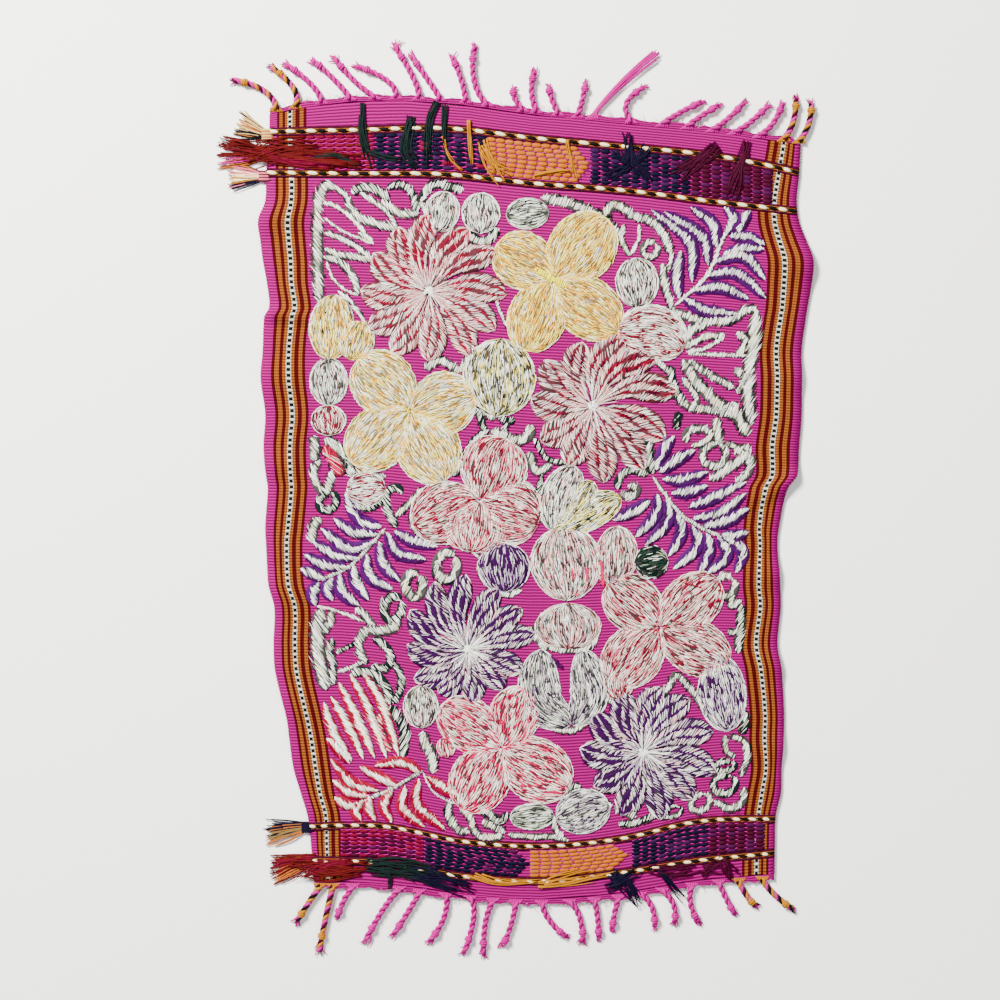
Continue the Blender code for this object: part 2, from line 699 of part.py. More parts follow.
def make_tassel(tassel, colour):
    """The loose ends of a band's wefts, fanned on the table from a head at the cloth's edge."""
    fan = 2 * tassel.fan
    edge_x = min(warp_x(0, tassel.y + dy) for dy in (-3, 0, 3)) - GAP
    width = tassel.locks * LOCK_PITCH
    head = bmesh.new()
    rows = [tassel.y - width / 2, tassel.y + width / 2]
    inner = [Vector((edge_x, y)) for y in rows]
    outer = [Vector((edge_x - HEAD_DEPTH, y)) for y in rows]
    add_slab(head, inner, outer, 0.0, SHEET_THICK)
    bmesh.ops.recalc_face_normals(head, faces=head.faces)
    backing = add_object(tassel.name, head, colour)
    draw = random.Random(tassel.name)
    locks = []
    for k in range(tassel.locks):
        share = (k + 0.5) / tassel.locks
        root = Vector((edge_x - HEAD_DEPTH * 0.6, rows[1] - share * width, 0))
        turn = tassel.turn + (share - 0.5) * fan
        reach = tassel.reach * draw.uniform(0.8, 1.0)
        tip = root + at_turn(turn, reach).to_3d()
        middle = root + at_turn(turn + draw.uniform(-2, 2), reach * 0.5).to_3d()
        route = curve_points(root, middle, tip, LOCK_SHARES)
        route[0].z = ROOT_CLEARANCE
        made = bmesh.new()
        narrow = [LOCK_WIDTH * 0.5, LOCK_WIDTH * 0.8, LOCK_WIDTH * 0.6]
        add_lock(made, route, narrow, LOCK_HEIGHTS, 3)
        locks.append(made)
    return fuse(backing, locks, colour)


def make_tails(tails, colour):
    """Cut thread ends on a band: strands that rise from a low bar and lie just over the sheet."""
    centre = Vector((tails.x, tails.y))
    along = at_turn(tails.bar_turn, tails.bar / 2)
    across = at_turn(tails.bar_turn + 90, BAR_WIDTH / 2)
    steps = max(2, round(tails.bar / BAR_STEP))
    line = [centre - along + along * 2 * k / steps for k in range(steps + 1)]
    rows = [p - across for p in line], [p + across for p in line]
    bar = bmesh.new()
    add_slab(bar, *rows, TAIL_BED, TAIL_BED + BAR_HEIGHT)
    bmesh.ops.recalc_face_normals(bar, faces=bar.faces)
    backing = add_object(tails.name, bar, colour)
    draw = random.Random(tails.name)
    upward = tails.bar_turn < 45
    spread = tails.fan if (tails.turn > 180) == upward else -tails.fan
    locks = []
    for k in range(tails.locks):
        place = 2 * (k + 0.5) / tails.locks - 1
        foot = centre + along * place
        turn = tails.turn + spread * place
        reach = tails.reach * draw.uniform(0.55, 1.0)
        tip = foot + at_turn(turn, reach)
        middle = foot + at_turn(turn + draw.uniform(-TAIL_WAVE, TAIL_WAVE), reach * 0.5)
        route = [p.to_3d() for p in curve_points(foot, middle, tip, LOCK_SHARES)]
        for p in route:
            p.z = TAIL_BED
        route[0].z += ROOT_CLEARANCE
        made = bmesh.new()
        add_lock(made, route, LOCK_WIDTHS, LOCK_HEIGHTS, 3)
        locks.append(made)
    return fuse(backing, locks, colour)


def centre_on_floor(objects):
    """Moves everything so that the middle of the model's box is over the origin."""
    bpy.context.view_layer.update()
    graph = bpy.context.evaluated_depsgraph_get()
    corners = []
    for obj in objects:
        evaluated = obj.evaluated_get(graph)
        corners += [evaluated.matrix_world @ Vector(c) for c in evaluated.bound_box]
    middle = [
        (min(c[axis] for c in corners) + max(c[axis] for c in corners)) / 2
        for axis in range(2)
    ]
    anchor = bpy.data.objects.new("cloth_origin", None)
    bpy.context.scene.collection.objects.link(anchor)
    for obj in list(bpy.data.objects):
        if obj is not anchor:
            obj.parent = anchor
    anchor.location = (-middle[0], -middle[1], 0)


def main():
    for obj in list(bpy.data.objects):
        bpy.data.objects.remove(obj)
    colours = {name: material(name) for name in COLOURS}
    made = [
        make_cloth(colours["magenta"]),
        make_fringe("fringe_top", WEFT_LINES[0], 1, TOP_CORDS, colours["pink"]),
        make_fringe("fringe_low", WEFT_LINES[-1], -1, LOW_CORDS, colours["pink"]),
    ]
    made += [make_tassel(tassel, colours[tassel.colour]) for tassel in TASSELS]
    made += [make_tails(tails, colours[tails.colour]) for tails in TAILS]
    centre_on_floor(made)


main()
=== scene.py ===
"""The looks of an embroidered, hand-woven cloth with knotted fringes, lying flat on a table.

Heights and sizes are in millimetres, and X and Y on the table run from the middle of the view. The
needlework's places are read in the photograph's pixels, which on_table turns into millimetres.
"""

import math
from collections import namedtuple

import bpy
import numpy as np
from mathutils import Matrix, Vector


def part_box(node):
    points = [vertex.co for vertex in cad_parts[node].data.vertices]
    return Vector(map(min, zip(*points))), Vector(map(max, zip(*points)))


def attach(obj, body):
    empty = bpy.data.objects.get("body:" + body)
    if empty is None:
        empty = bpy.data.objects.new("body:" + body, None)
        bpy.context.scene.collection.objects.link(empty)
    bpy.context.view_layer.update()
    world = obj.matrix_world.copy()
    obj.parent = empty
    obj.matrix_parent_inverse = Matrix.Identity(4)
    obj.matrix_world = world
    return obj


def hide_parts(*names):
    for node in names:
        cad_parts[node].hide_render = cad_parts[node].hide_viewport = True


MM = 0.001
PIXEL = 0.6
VIEW_MIDDLE_PIXEL = 500
VIEW_WIDTH = 600.0

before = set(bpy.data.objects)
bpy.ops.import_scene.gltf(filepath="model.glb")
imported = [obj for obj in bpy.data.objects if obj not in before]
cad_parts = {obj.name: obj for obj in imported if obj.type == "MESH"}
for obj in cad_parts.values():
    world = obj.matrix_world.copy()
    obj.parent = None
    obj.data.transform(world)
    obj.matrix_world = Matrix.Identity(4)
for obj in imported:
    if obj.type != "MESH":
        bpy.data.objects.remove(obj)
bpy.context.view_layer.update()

# Driving dimensions, in millimetres
SHEET_THICK = 1.6
RIDGE_FOOT = 0.3
END_TAPER = 14.0
CLOTH_WIDTH = 310
RIB_PITCH = 1.75
RIB_HEIGHT = 0.3
SELVEDGE_BULGE = 0.5
STRIP_WAVE = 0.7
END_WAVE_REACH = 7.0
ROWS_PER_RIB = 3
FIELD_COLUMNS = 14
UNDERSIDE_STEP = 7
STRIP_WIDTH = 3.4
THREAD = 0.54
THREAD_HEIGHT = 0.42
SATIN_THREAD = 0.60
BED_SINK = 0.5
CORD_RADIUS = 1.9
KNOT_RADIUS = 2.4

# The cloth's long edges and the black and white stripe beside each, at heights y along the cloth
WarpRow = namedtuple("WarpRow", "y left_edge left_stripe right_stripe right_edge")
WARP_ROWS = (
    WarpRow(240, -138, -126, 171, 182.5),
    WarpRow(220, -138, -126, 171, 180.5),
    WarpRow(195, -140, -125, 167, 179),
    WarpRow(179, -140.5, -125, 164.5, 177.5),
    WarpRow(167, -144.5, -127, 164.5, 179),
    WarpRow(156, -143.5, -126.5, 167, 183),
    WarpRow(144, -142, -125.5, 170, 187),
    WarpRow(130, -139.5, -125, 170, 186.5),
    WarpRow(115, -138, -123, 169, 184),
    WarpRow(109, -141, -124.5, 168, 183),
    WarpRow(90, -142, -126.5, 165.5, 180.5),
    WarpRow(73, -143, -126.5, 166, 180.5),
    WarpRow(51, -140.5, -124.5, 165.5, 180.5),
    WarpRow(32, -141.5, -126, 163, 179),
    WarpRow(15, -140, -125.5, 163, 177.5),
    WarpRow(7, -139, -125, 159, 172),
    WarpRow(-16, -140.5, -127, 155.5, 167),
    WarpRow(-27, -140, -128, 156, 166),
    WarpRow(-50, -138.5, -127, 155, 167.5),
    WarpRow(-64, -135, -123, 156, 168),
    WarpRow(-87, -135.5, -123, 153.5, 166),
    WarpRow(-103, -134.5, -122, 156.5, 168.5),
    WarpRow(-129, -128, -116, 159, 170),
    WarpRow(-144, -126, -113, 158.5, 169.5),
    WarpRow(-161, -123.5, -110.5, 159.5, 168.5),
    WarpRow(-176, -119, -108, 157, 168),
    WarpRow(-189, -115, -104.5, 155, 165),
    WarpRow(-207, -113, -104, 154, 164.5),
    WarpRow(-240, -110.5, -102.5, 153.5, 164),
)
LEFT_STRIPE_SHARE = 0.048
RIGHT_STRIPE_SHARE = 0.955

# The weft lines that bound the end strips and bands: distance along the cloth, and height y at
# equal steps across
WeftLine = namedtuple("WeftLine", "name along heights")
WEFT_LINES = (
    WeftLine("top_edge", 0, (231, 238.5, 237.5, 230.5, 225, 219.5, 212.5)),
    WeftLine("top_band_outer", 15, (220.5, 221.5, 222.5, 216.5, 211.5, 206, 196)),
    WeftLine("top_band_inner", 41, (196, 195.5, 195, 189.5, 185.5, 179, 173)),
    WeftLine("low_band_inner", 430, (-195.5, -195.5, -204.5, -207.5, -203, -192.5, -191)),
    WeftLine("low_band_outer", 452, (-216, -217.5, -225.5, -228.5, -223.5, -216, -211.5)),
    WeftLine("low_edge", 463, (-228.5, -230, -236, -239, -235.5, -228, -224)),
)
CLOTH_LENGTH = WEFT_LINES[-1].along

# Where the cloth lifts off the table: middle, turn in degrees, reach along and across, and height
Ridge = namedtuple("Ridge", "x y angle length width height")
RIDGES = (
    Ridge(-142, 168, 10, 26, 10, 3.2),
    Ridge(-139, 112, -6, 30, 5, 3.6),
    Ridge(-141, 72, 4, 24, 12, 2.4),
    Ridge(-140, 20, 0, 22, 9, 2.2),
    Ridge(-138, -55, -10, 26, 11, 2.6),
    Ridge(-130, -122, -14, 24, 10, 2.2),
    Ridge(-116, -186, -18, 20, 9, 1.8),
    Ridge(185, 142, -8, 32, 11, 3.8),
    Ridge(180, 74, 0, 24, 10, 2.4),
    Ridge(176, 12, 24, 30, 6, 3.8),
    Ridge(168, -44, 8, 22, 9, 2.4),
    Ridge(168, -98, -6, 24, 9, 2.6),
    Ridge(168, -148, 0, 22, 9, 2.2),
)

# Warp stripes of the left border, from the selvedge inwards, as widths in millimetres; the check
# stripe's middle lies on the border's stripe line
Stripe = namedtuple("Stripe", "yarn width")
OUTER_STRIPES = (
    Stripe("red", 1.7),
    Stripe("ochre", 2.4),
    Stripe("red", 1.8),
    Stripe("ochre", 2.0),
)
CHECK_STRIPES = (Stripe("white", 0.35), Stripe("check", 2.2), Stripe("white", 0.35))
INNER_STRIPES = (
    Stripe("ochre", 1.8),
    Stripe("red", 2.4),
    Stripe("ochre", 2.2),
    Stripe("red", 1.7),
)


def on_table(points):
    """Pixels of the photograph as millimetres on the table."""
    points = np.asarray(points, float)
    return np.stack(
        ((points[..., 0] - VIEW_MIDDLE_PIXEL) * PIXEL, (VIEW_MIDDLE_PIXEL - points[..., 1]) * PIXEL),
        axis=-1,
    )


def eased(knots, values, at):
    """A smooth curve through the values, level with their neighbours' slope at each knot."""
    knots, values = np.asarray(knots, float), np.asarray(values, float)
    last = len(knots) - 1
    at = np.clip(at, knots[0], knots[last])
    i = np.clip(np.searchsorted(knots, at) - 1, 0, last - 1)
    span = knots[i + 1] - knots[i]
    share = (at - knots[i]) / span
    low, high = np.maximum(np.arange(last + 1) - 1, 0), np.minimum(np.arange(last + 1) + 1, last)
    slope = (values[high] - values[low]) / (knots[high] - knots[low])
    step = values[i + 1] - values[i]
    curve = slope[i] * share * (1 - share) ** 2 - slope[i + 1] * share**2 * (1 - share)
    return values[i] + step * share * share * (3 - 2 * share) + curve * span


WARP_TABLE = sorted(WARP_ROWS)
WARP_HEIGHTS = [row.y for row in WARP_TABLE]
WARP_COLUMNS = list(zip(*WARP_TABLE))[1:]


def warp_x(share, y):
    """X of the warp thread that lies this share of the way across, at height y."""
    share, y = np.broadcast_arrays(np.asarray(share, float), np.asarray(y, float))
    columns = np.stack([eased(WARP_HEIGHTS, column, y) for column in WARP_COLUMNS])
    place = np.interp(share, (0.0, LEFT_STRIPE_SHARE, RIGHT_STRIPE_SHARE, 1.0), range(4))
    i = np.minimum(place.astype(int), 2)
    inner = np.take_along_axis(columns, i[None], 0)[0]
    outer = np.take_along_axis(columns, i[None] + 1, 0)[0]
    return inner + (outer - inner) * (place - i)


def weft_y(line, share):
    """Height of one weft line at this share of the way across."""
    return eased(np.linspace(0, 1, len(line.heights)), line.heights, share)


def cloth_point(share, along):
    """The place on the table of a point of the cloth: its share across and its distance along."""
    share, along = np.broadcast_arrays(np.asarray(share, float), np.asarray(along, float))
    heights = np.stack([weft_y(line, share) for line in WEFT_LINES])
    place = np.interp(along, [line.along for line in WEFT_LINES], range(len(WEFT_LINES)))
    i = np.minimum(place.astype(int), len(WEFT_LINES) - 2)
    first = np.take_along_axis(heights, i[None], 0)[0]
    second = np.take_along_axis(heights, i[None] + 1, 0)[0]
    y = first + (second - first) * (place - i)
    return warp_x(share, y), y


def smoothstep(value):
    value = np.clip(value, 0.0, 1.0)
    return value * value * (3 - 2 * value)


def lift(x, y):
    """How far the underside stands off the table; zero at both fringed ends."""
    total = np.zeros(np.broadcast(x, y).shape)
    for ridge in RIDGES:
        turn = math.radians(ridge.angle)
        dx, dy = x - ridge.x, y - ridge.y
        lengthwise = (dx * math.cos(turn) + dy * math.sin(turn)) / ridge.length
        crosswise = (dy * math.cos(turn) - dx * math.sin(turn)) / ridge.width
        total += ridge.height * np.exp(-(lengthwise**2) - crosswise**2)
    left, right = warp_x(0, y), warp_x(1, y)
    share = np.clip((x - left) / (right - left), 0.0, 1.0)
    inset = np.minimum(weft_y(WEFT_LINES[0], share) - y, y - weft_y(WEFT_LINES[-1], share))
    return np.maximum(total - RIDGE_FOOT, 0.0) * smoothstep(inset / END_TAPER)


def sheet_top(x, y):
    return lift(x, y) + SHEET_THICK + RIB_HEIGHT


# Colours of the yarns, as linear light; the dark grey among them is painted shade rather than a yarn
YARNS = {
    "magenta": (0.32, 0.0, 0.142),
    "pink": (0.37, 0.001, 0.175),
    "red": (0.08, 0.001, 0.002),
    "brick": (0.075, 0.003, 0.003),
    "claret": (0.105, 0.0, 0.013),
    "wine": (0.034, 0.0, 0.010),
    "plum": (0.040, 0.001, 0.028),
    "violet": (0.044, 0.001, 0.064),
    "navy": (0.003, 0.0015, 0.012),
    "black": (0.003, 0.002, 0.002),
    "ochre": (0.32, 0.088, 0.014),
    "orange": (0.34, 0.085, 0.004),
    "amber": (0.82, 0.40, 0.012),
    "gold": (0.33, 0.125, 0.004),
    "straw": (0.50, 0.34, 0.13),
    "butter": (0.90, 0.74, 0.17),
    "yellow": (0.95, 0.82, 0.0),
    "white": (0.66, 0.62, 0.52),
    "ivory": (0.88, 0.88, 0.76),
    "cream": (0.82, 0.68, 0.38),
    "blush": (0.80, 0.47, 0.43),
    "rose": (0.60, 0.11, 0.17),
    "coral": (0.60, 0.002, 0.09),
    "crimson": (0.21, 0.0, 0.018),
    "lilac": (0.40, 0.33, 0.38),
    # A dark grey painted as shade: the padding under pale needlework, the hairlines between its threads and,
    # beside moss thread, the dark along the bars' edges
    "dusk": (0.042, 0.040, 0.036),
    "umber": (0.15, 0.09, 0.025),
    "maroon": (0.075, 0.014, 0.020),
    "grape": (0.022, 0.003, 0.030),
    "sage": (0.32, 0.36, 0.26),
    "moss": (0.003, 0.009, 0.008),
    "green": (0.010, 0.04, 0.02),
}


class Nodes:
    """A material that is built up node by node."""

    def __init__(self, name):
        self.material = bpy.data.materials.new(name)
        self.material.use_nodes = True
        self.tree = self.material.node_tree
        self.shader = self.tree.nodes["Principled BSDF"]

    def set(self, node, inputs):
        for key, value in inputs.items():
            socket = node.inputs[key]
            if isinstance(value, bpy.types.NodeSocket):
                self.tree.links.new(value, socket)
            else:
                socket.default_value = value

    def add(self, kind, inputs, **settings):
        node = self.tree.nodes.new(kind)
        for key, value in settings.items():
            setattr(node, key, value)
        self.set(node, inputs)
        return node.outputs

    def math(self, operation, first, second=0.0):
        return self.add("ShaderNodeMath", {0: first, 1: second}, operation=operation)[0]

    def noise(self, vector, scale, detail=2.0):
        inputs = {"Vector": vector, "Scale": scale, "Detail": detail}
        return self.add("ShaderNodeTexNoise", inputs)["Fac"]

    def stretched(self, vector, scale):
        inputs = {"Vector": vector, "Scale": scale}
        return self.add("ShaderNodeMapping", inputs)[0]

    def mixed(self, share, first, second):
        return self.add("ShaderNodeMix", {0: share, 6: first, 7: second}, data_type="RGBA")[2]

    def bump(self, height, strength, distance):
        inputs = {"Height": height, "Strength": strength, "Distance": distance}
        return self.add("ShaderNodeBump", inputs)[0]


def shade(colour, factor):
    return (*(min(channel * factor, 1.0) for channel in colour), 1.0)


def woven(name, colour, bead_width=0.0):
    """Warp-faced rep: rounded ribs with painted shade in the grooves between them, crossed by fine warp
    threads;
    in the striped borders each few warp threads make a row of beads, with painted shade along the seams
    between them."""
    made = Nodes(name)
    place = made.add("ShaderNodeUVMap", {}, uv_map="weave")[0]
    wander = made.noise(made.stretched(place, (0.16, 0.05, 1.0)), 1.0)
    across, ribs, _ = made.add("ShaderNodeSeparateXYZ", {"Vector": place})
    ribs = made.math("ADD", ribs, made.math("MULTIPLY", made.math("SUBTRACT", wander, 0.5), 0.3))
    swing = made.math("SUBTRACT", made.math("FRACT", ribs), 0.5)
    # Painted shade in the grooves between ribs: 0 on a rib's top, 1 in the groove, where the colour is
    # darkened to a tenth
    groove_shade = made.math("POWER", made.math("MULTIPLY", made.math("ABSOLUTE", swing), 2.0), 1.1)
    if bead_width:
        # Painted shade along the seams between the beads
        lane = made.math("SUBTRACT", made.math("FRACT", made.math("DIVIDE", across, bead_width)), 0.5)
        seam = made.math("POWER", made.math("MULTIPLY", made.math("ABSOLUTE", lane), 2.0), 3.0)
        groove_shade = made.math("MAXIMUM", groove_shade, seam)
    warp = made.noise(made.stretched(place, (2.6, 0.8, 1.0)), 1.0)
    picks = made.noise(made.stretched(place, (0.03, 0.9, 1.0)), 1.0, 3.0)
    tone = made.mixed(warp, shade(colour, 0.66), shade(colour, 1.34))
    tone = made.mixed(made.math("MULTIPLY", picks, 0.5), tone, shade(colour, 0.8))
    tone = made.mixed(made.math("MULTIPLY", groove_shade, 0.95), tone, shade(colour, 0.10))
    threads = made.noise(made.stretched(place, (3.2, 1.2, 1.0)), 1.0, 3.0)
    normal = made.bump(threads, 0.6, 0.0003)
    made.set(made.shader, {"Base Color": tone, "Roughness": 0.85, "Normal": normal})
    made.set(made.shader, {"Specular IOR Level": 0.05})
    return made.material


THREAD_ROUGHNESS = 0.62


def thread(name, colour):
    """Loose or stitched cotton thread: matt, with uneven dye and fine fibres."""
    made = Nodes(name)
    place = made.add("ShaderNodeTexCoord", {})["Object"]
    dye = made.noise(place, 900.0, 3.0)
    tone = made.mixed(dye, shade(colour, 0.70), shade(colour, 1.25))
    fibres = made.noise(place, 4200.0, 2.0)
    normal = made.bump(fibres, 0.35, 0.0002)
    made.set(made.shader, {"Base Color": tone, "Roughness": THREAD_ROUGHNESS, "Normal": normal})
    made.set(made.shader, {"Specular IOR Level": 0.06})
    return made.material


YARN_NAMES = list(YARNS)
BEAD_WIDTHS = {"magenta": 0.0, "red": 0.95, "ochre": 1.15, "black": 0.0, "white": 0.0}
WOVEN = {name: woven("weave_" + name, YARNS[name], width) for name, width in BEAD_WIDTHS.items()}
THREADS = {name: thread("thread_" + name, YARNS[name]) for name in YARN_NAMES}
YARN_INDEX = {name: k for k, name in enumerate(YARN_NAMES)}


class Pile:
    """Meshes gathered into one piece; every face has its yarn."""

    def __init__(self):
        self.places = []
        self.faces = []
        self.yarns = []
        self.count = 0

    def add(self, places, faces, yarn):
        """Faces are rows of point numbers within places; yarn is one number or one for each face."""
        places = np.asarray(places, float).reshape(-1, 3)
        for rows in faces:
            rows = np.asarray(rows)
            self.faces.append(rows + self.count)
            self.yarns.append(np.broadcast_to(yarn, len(rows)))
        self.places.append(places)
        self.count += len(places)

    def add_faces(self, rows, yarn):
        """Faces over points that the pile has already."""
        self.faces.append(rows)
        self.yarns.append(np.broadcast_to(yarn, len(rows)))

    def build(self, name, slot, replaced=(), yarns=THREADS, weave=None):
        sizes = np.concatenate([np.full(len(rows), rows.shape[1]) for rows in self.faces])
        corners = np.concatenate([rows.ravel() for rows in self.faces])
        mesh = bpy.data.meshes.new(name)
        places = (np.concatenate(self.places) + ORIGIN) * MM
        mesh.vertices.add(len(places))
        mesh.vertices.foreach_set("co", places.ravel())
        mesh.loops.add(len(corners))
        mesh.loops.foreach_set("vertex_index", corners)
        mesh.polygons.add(len(sizes))
        mesh.polygons.foreach_set("loop_start", np.concatenate(([0], np.cumsum(sizes)[:-1])))
        used, slots = np.unique(np.concatenate(self.yarns), return_inverse=True)
        for k in used:
            mesh.materials.append(yarns[YARN_NAMES[k]])
        mesh.polygons.foreach_set("material_index", slots.ravel())
        if weave is not None:
            mesh.uv_layers.new(name="weave").uv.foreach_set("vector", weave[corners].ravel())
        mesh.update(calc_edges=True)
        mesh.shade_smooth()
        piece = bpy.data.objects.new(name, mesh)
        bpy.context.scene.collection.objects.link(piece)
        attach(piece, "root")
        if replaced:
            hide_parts(*replaced)
        return piece

    def add_stitches(self, x, y, z, width, height, yarn):
        """Short threads, each through four places: it leaves the first, lies raised over the next
        two and goes in at the last. The arrays have a row for each thread."""
        count = len(x)
        run = np.stack((x[:, 3] - x[:, 0], y[:, 3] - y[:, 0]), axis=1)
        run /= np.maximum(np.linalg.norm(run, axis=1), 1e-6)[:, None]
        half = np.broadcast_to(width, count) / 2
        side = np.stack((-run[:, 1] * half, run[:, 0] * half), axis=1)
        rise = np.broadcast_to(height, count)
        places = np.zeros((count, 8, 3))
        places[:, 0] = np.stack((x[:, 0], y[:, 0], z[:, 0]), axis=1)
        places[:, 7] = np.stack((x[:, 3], y[:, 3], z[:, 3]), axis=1)
        for ring, k in ((1, 1), (4, 2)):
            centre = np.stack((x[:, k], y[:, k], z[:, k]), axis=1)
            for corner, sign in ((0, 1), (1, -1)):
                places[:, ring + corner] = centre
                places[:, ring + corner, :2] += side * sign
            places[:, ring + 2] = centre
            places[:, ring + 2, 2] += rise
        first = np.arange(count)[:, None, None] * 8
        ends = np.array(((0, 3, 1), (0, 2, 3), (0, 1, 2), (7, 4, 6), (7, 6, 5), (7, 5, 4)))
        sides = np.array(((1, 3, 6, 4), (3, 2, 5, 6), (2, 1, 4, 5)))
        yarn = np.broadcast_to(yarn, count)
        start = self.count
        self.add(places, [], 0)
        self.faces.append((first + ends).reshape(-1, 3) + start)
        self.yarns.append(np.repeat(yarn, 6))
        self.faces.append((first + sides).reshape(-1, 4) + start)
        self.yarns.append(np.repeat(yarn, 3))

    def add_rings(self, rings, yarn):
        """A closed skin over rings of points, from the first ring to the last."""
        rings = np.asarray(rings)
        count, sides = rings.shape[:2]
        numbers = np.arange(count * sides).reshape(count, sides)
        after = np.roll(numbers, -1, axis=1)
        quads = np.stack((numbers[:-1], after[:-1], after[1:], numbers[1:]), axis=-1).reshape(-1, 4)
        caps = [numbers[0][::-1][None], numbers[-1][None]]
        self.add(rings, [quads, *caps], yarn)

    def add_tube(self, path, radii, yarn, sides=5, flat=1.0):
        """A round or flattened thread along a path of (x, y, z) points."""
        path = np.asarray(path, float)
        heading = np.gradient(path, axis=0)
        heading /= np.maximum(np.linalg.norm(heading, axis=1), 1e-6)[:, None]
        across = np.stack((-heading[:, 1], heading[:, 0], np.zeros(len(path))), axis=1)
        across /= np.maximum(np.linalg.norm(across, axis=1), 1e-6)[:, None]
        above = np.cross(heading, across)
        turns = np.arange(sides) / sides * 2 * math.pi
        radii = np.broadcast_to(radii, len(path))[:, None, None]
        rings = path[:, None] + across[:, None] * np.cos(turns)[:, None] * radii
        rings = rings + above[:, None] * np.sin(turns)[:, None] * radii * flat
        self.add_rings(rings, yarn)


def outline_low():
    """Lowest corner of the cloth's outline, as in the part's source."""
    across = np.linspace(0, 1, 41)[:-1]
    down = np.linspace(0, CLOTH_LENGTH, 63)
    sides = [cloth_point(0, down), cloth_point(1, down)]
    ends = [cloth_point(across, 0), cloth_point(across, CLOTH_LENGTH)]
    x = np.concatenate([part[0] for part in sides + ends])
    y = np.concatenate([part[1] for part in sides + ends])
    return x.min(), y.min()


low_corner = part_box("cloth")[0] / MM
ORIGIN = np.array((low_corner.x, low_corner.y, 0.0)) - np.array((*outline_low(), 0.0))


def stripe_marks():
    """The shares across at which the yarn changes, and the yarn of each strip between them."""
    outer = OUTER_STRIPES + CHECK_STRIPES
    checked = sum(stripe.width for stripe in CHECK_STRIPES)
    reach = sum(stripe.width for stripe in outer) - checked / 2
    marks, yarns = [0.0, LEFT_STRIPE_SHARE - reach / CLOTH_WIDTH], ["magenta"]
    for stripe in outer + INNER_STRIPES:
        marks.append(marks[-1] + stripe.width / CLOTH_WIDTH)
        yarns.append(stripe.yarn)
    right = RIGHT_STRIPE_SHARE + LEFT_STRIPE_SHARE
    mirrored = [right - mark for mark in marks[1:]][::-1] + [1.0]
    field = np.linspace(marks[-1], mirrored[0], FIELD_COLUMNS + 1)[1:-1]
    return marks + list(field) + mirrored, yarns + ["magenta"] * FIELD_COLUMNS + yarns[::-1]


def rib_yarns(yarns, rows):
    """The yarn of each face of the top; the check stripe changes from rib to rib."""
    rib = np.arange(rows - 1)[:, None] // ROWS_PER_RIB
    fixed = np.array([YARN_INDEX.get(name, -1) for name in yarns])[None, :]
    dots = np.where(rib % 2 == 0, YARN_INDEX["black"], YARN_INDEX["white"])
    return np.where(fixed >= 0, fixed, dots)


def close_skin(pile, numbers, low_numbers, under):
    """The sheet's underside and its four cut edges."""
    plain = YARN_INDEX["magenta"]
    low_quads = np.stack(
        (low_numbers[:-1, :-1], low_numbers[:-1, 1:], low_numbers[1:, 1:], low_numbers[1:, :-1]), axis=-1
    )
    pile.add_faces(low_quads.reshape(-1, 4), plain)
    left = np.stack((numbers[:-1, 0], low_numbers[:-1, 0], low_numbers[1:, 0], numbers[1:, 0]), axis=-1)
    right = np.stack((numbers[:-1, -1], numbers[1:, -1], low_numbers[1:, -1], low_numbers[:-1, -1]), axis=-1)
    pile.add_faces(left, plain)
    pile.add_faces(right, plain)
    for k, (start, stop) in enumerate(zip(under, under[1:])):
        first = [*numbers[0, start : stop + 1], low_numbers[0, k + 1], low_numbers[0, k]]
        last = [*numbers[-1, start : stop + 1][::-1], low_numbers[-1, k], low_numbers[-1, k + 1]]
        pile.add_faces(np.array([first]), plain)
        pile.add_faces(np.array([last]), plain)


def make_ground():
    """The woven sheet: ribbed top, plain underside and cut edge, as one closed skin."""
    marks, yarns = stripe_marks()
    ribs = round(CLOTH_LENGTH / RIB_PITCH)
    rows = ribs * ROWS_PER_RIB + 1
    along = np.linspace(0, CLOTH_LENGTH, rows)
    share = np.array(marks)
    x, y = cloth_point(share[None, :], along[:, None])
    phase = np.arange(rows) % ROWS_PER_RIB / ROWS_PER_RIB
    relief = RIB_HEIGHT * np.sin(math.pi * phase) ** 0.8
    ends = np.exp(-np.minimum(along, CLOTH_LENGTH - along) / END_WAVE_REACH)[:, None]
    y = y + STRIP_WAVE * 0.6 * ends * np.sin(share * 95 + 1.3 * np.sin(share * 31))
    x[:, 0] -= SELVEDGE_BULGE * np.sin(math.pi * phase)
    x[:, -1] += SELVEDGE_BULGE * np.sin(math.pi * phase)
    base = lift(x, y)
    top = np.stack((x, y, base + SHEET_THICK + relief[:, None]), axis=-1)
    under = sorted({*range(0, len(marks) - 1, UNDERSIDE_STEP), len(marks) - 1})
    low = np.stack((x, y, base), axis=-1)[:, under]
    numbers = np.arange(top.size // 3).reshape(top.shape[:2])
    low_numbers = np.arange(low.size // 3).reshape(low.shape[:2]) + numbers.size

    quads = np.stack((numbers[:-1, :-1], numbers[1:, :-1], numbers[1:, 1:], numbers[:-1, 1:]), axis=-1)

    pile = Pile()
    pile.add(np.concatenate((top.reshape(-1, 3), low.reshape(-1, 3))), [], 0)
    pile.add_faces(quads.reshape(-1, 4), rib_yarns(yarns, rows).ravel())
    close_skin(pile, numbers, low_numbers, under)

    weave_top = np.stack(np.broadcast_arrays(share * CLOTH_WIDTH, (along / CLOTH_LENGTH * ribs)[:, None]), -1)
    weave = np.concatenate((weave_top.reshape(-1, 2), weave_top[:, under].reshape(-1, 2)))
    ground = pile.build("cloth_ground", "cloth", ["cloth"], WOVEN, weave)


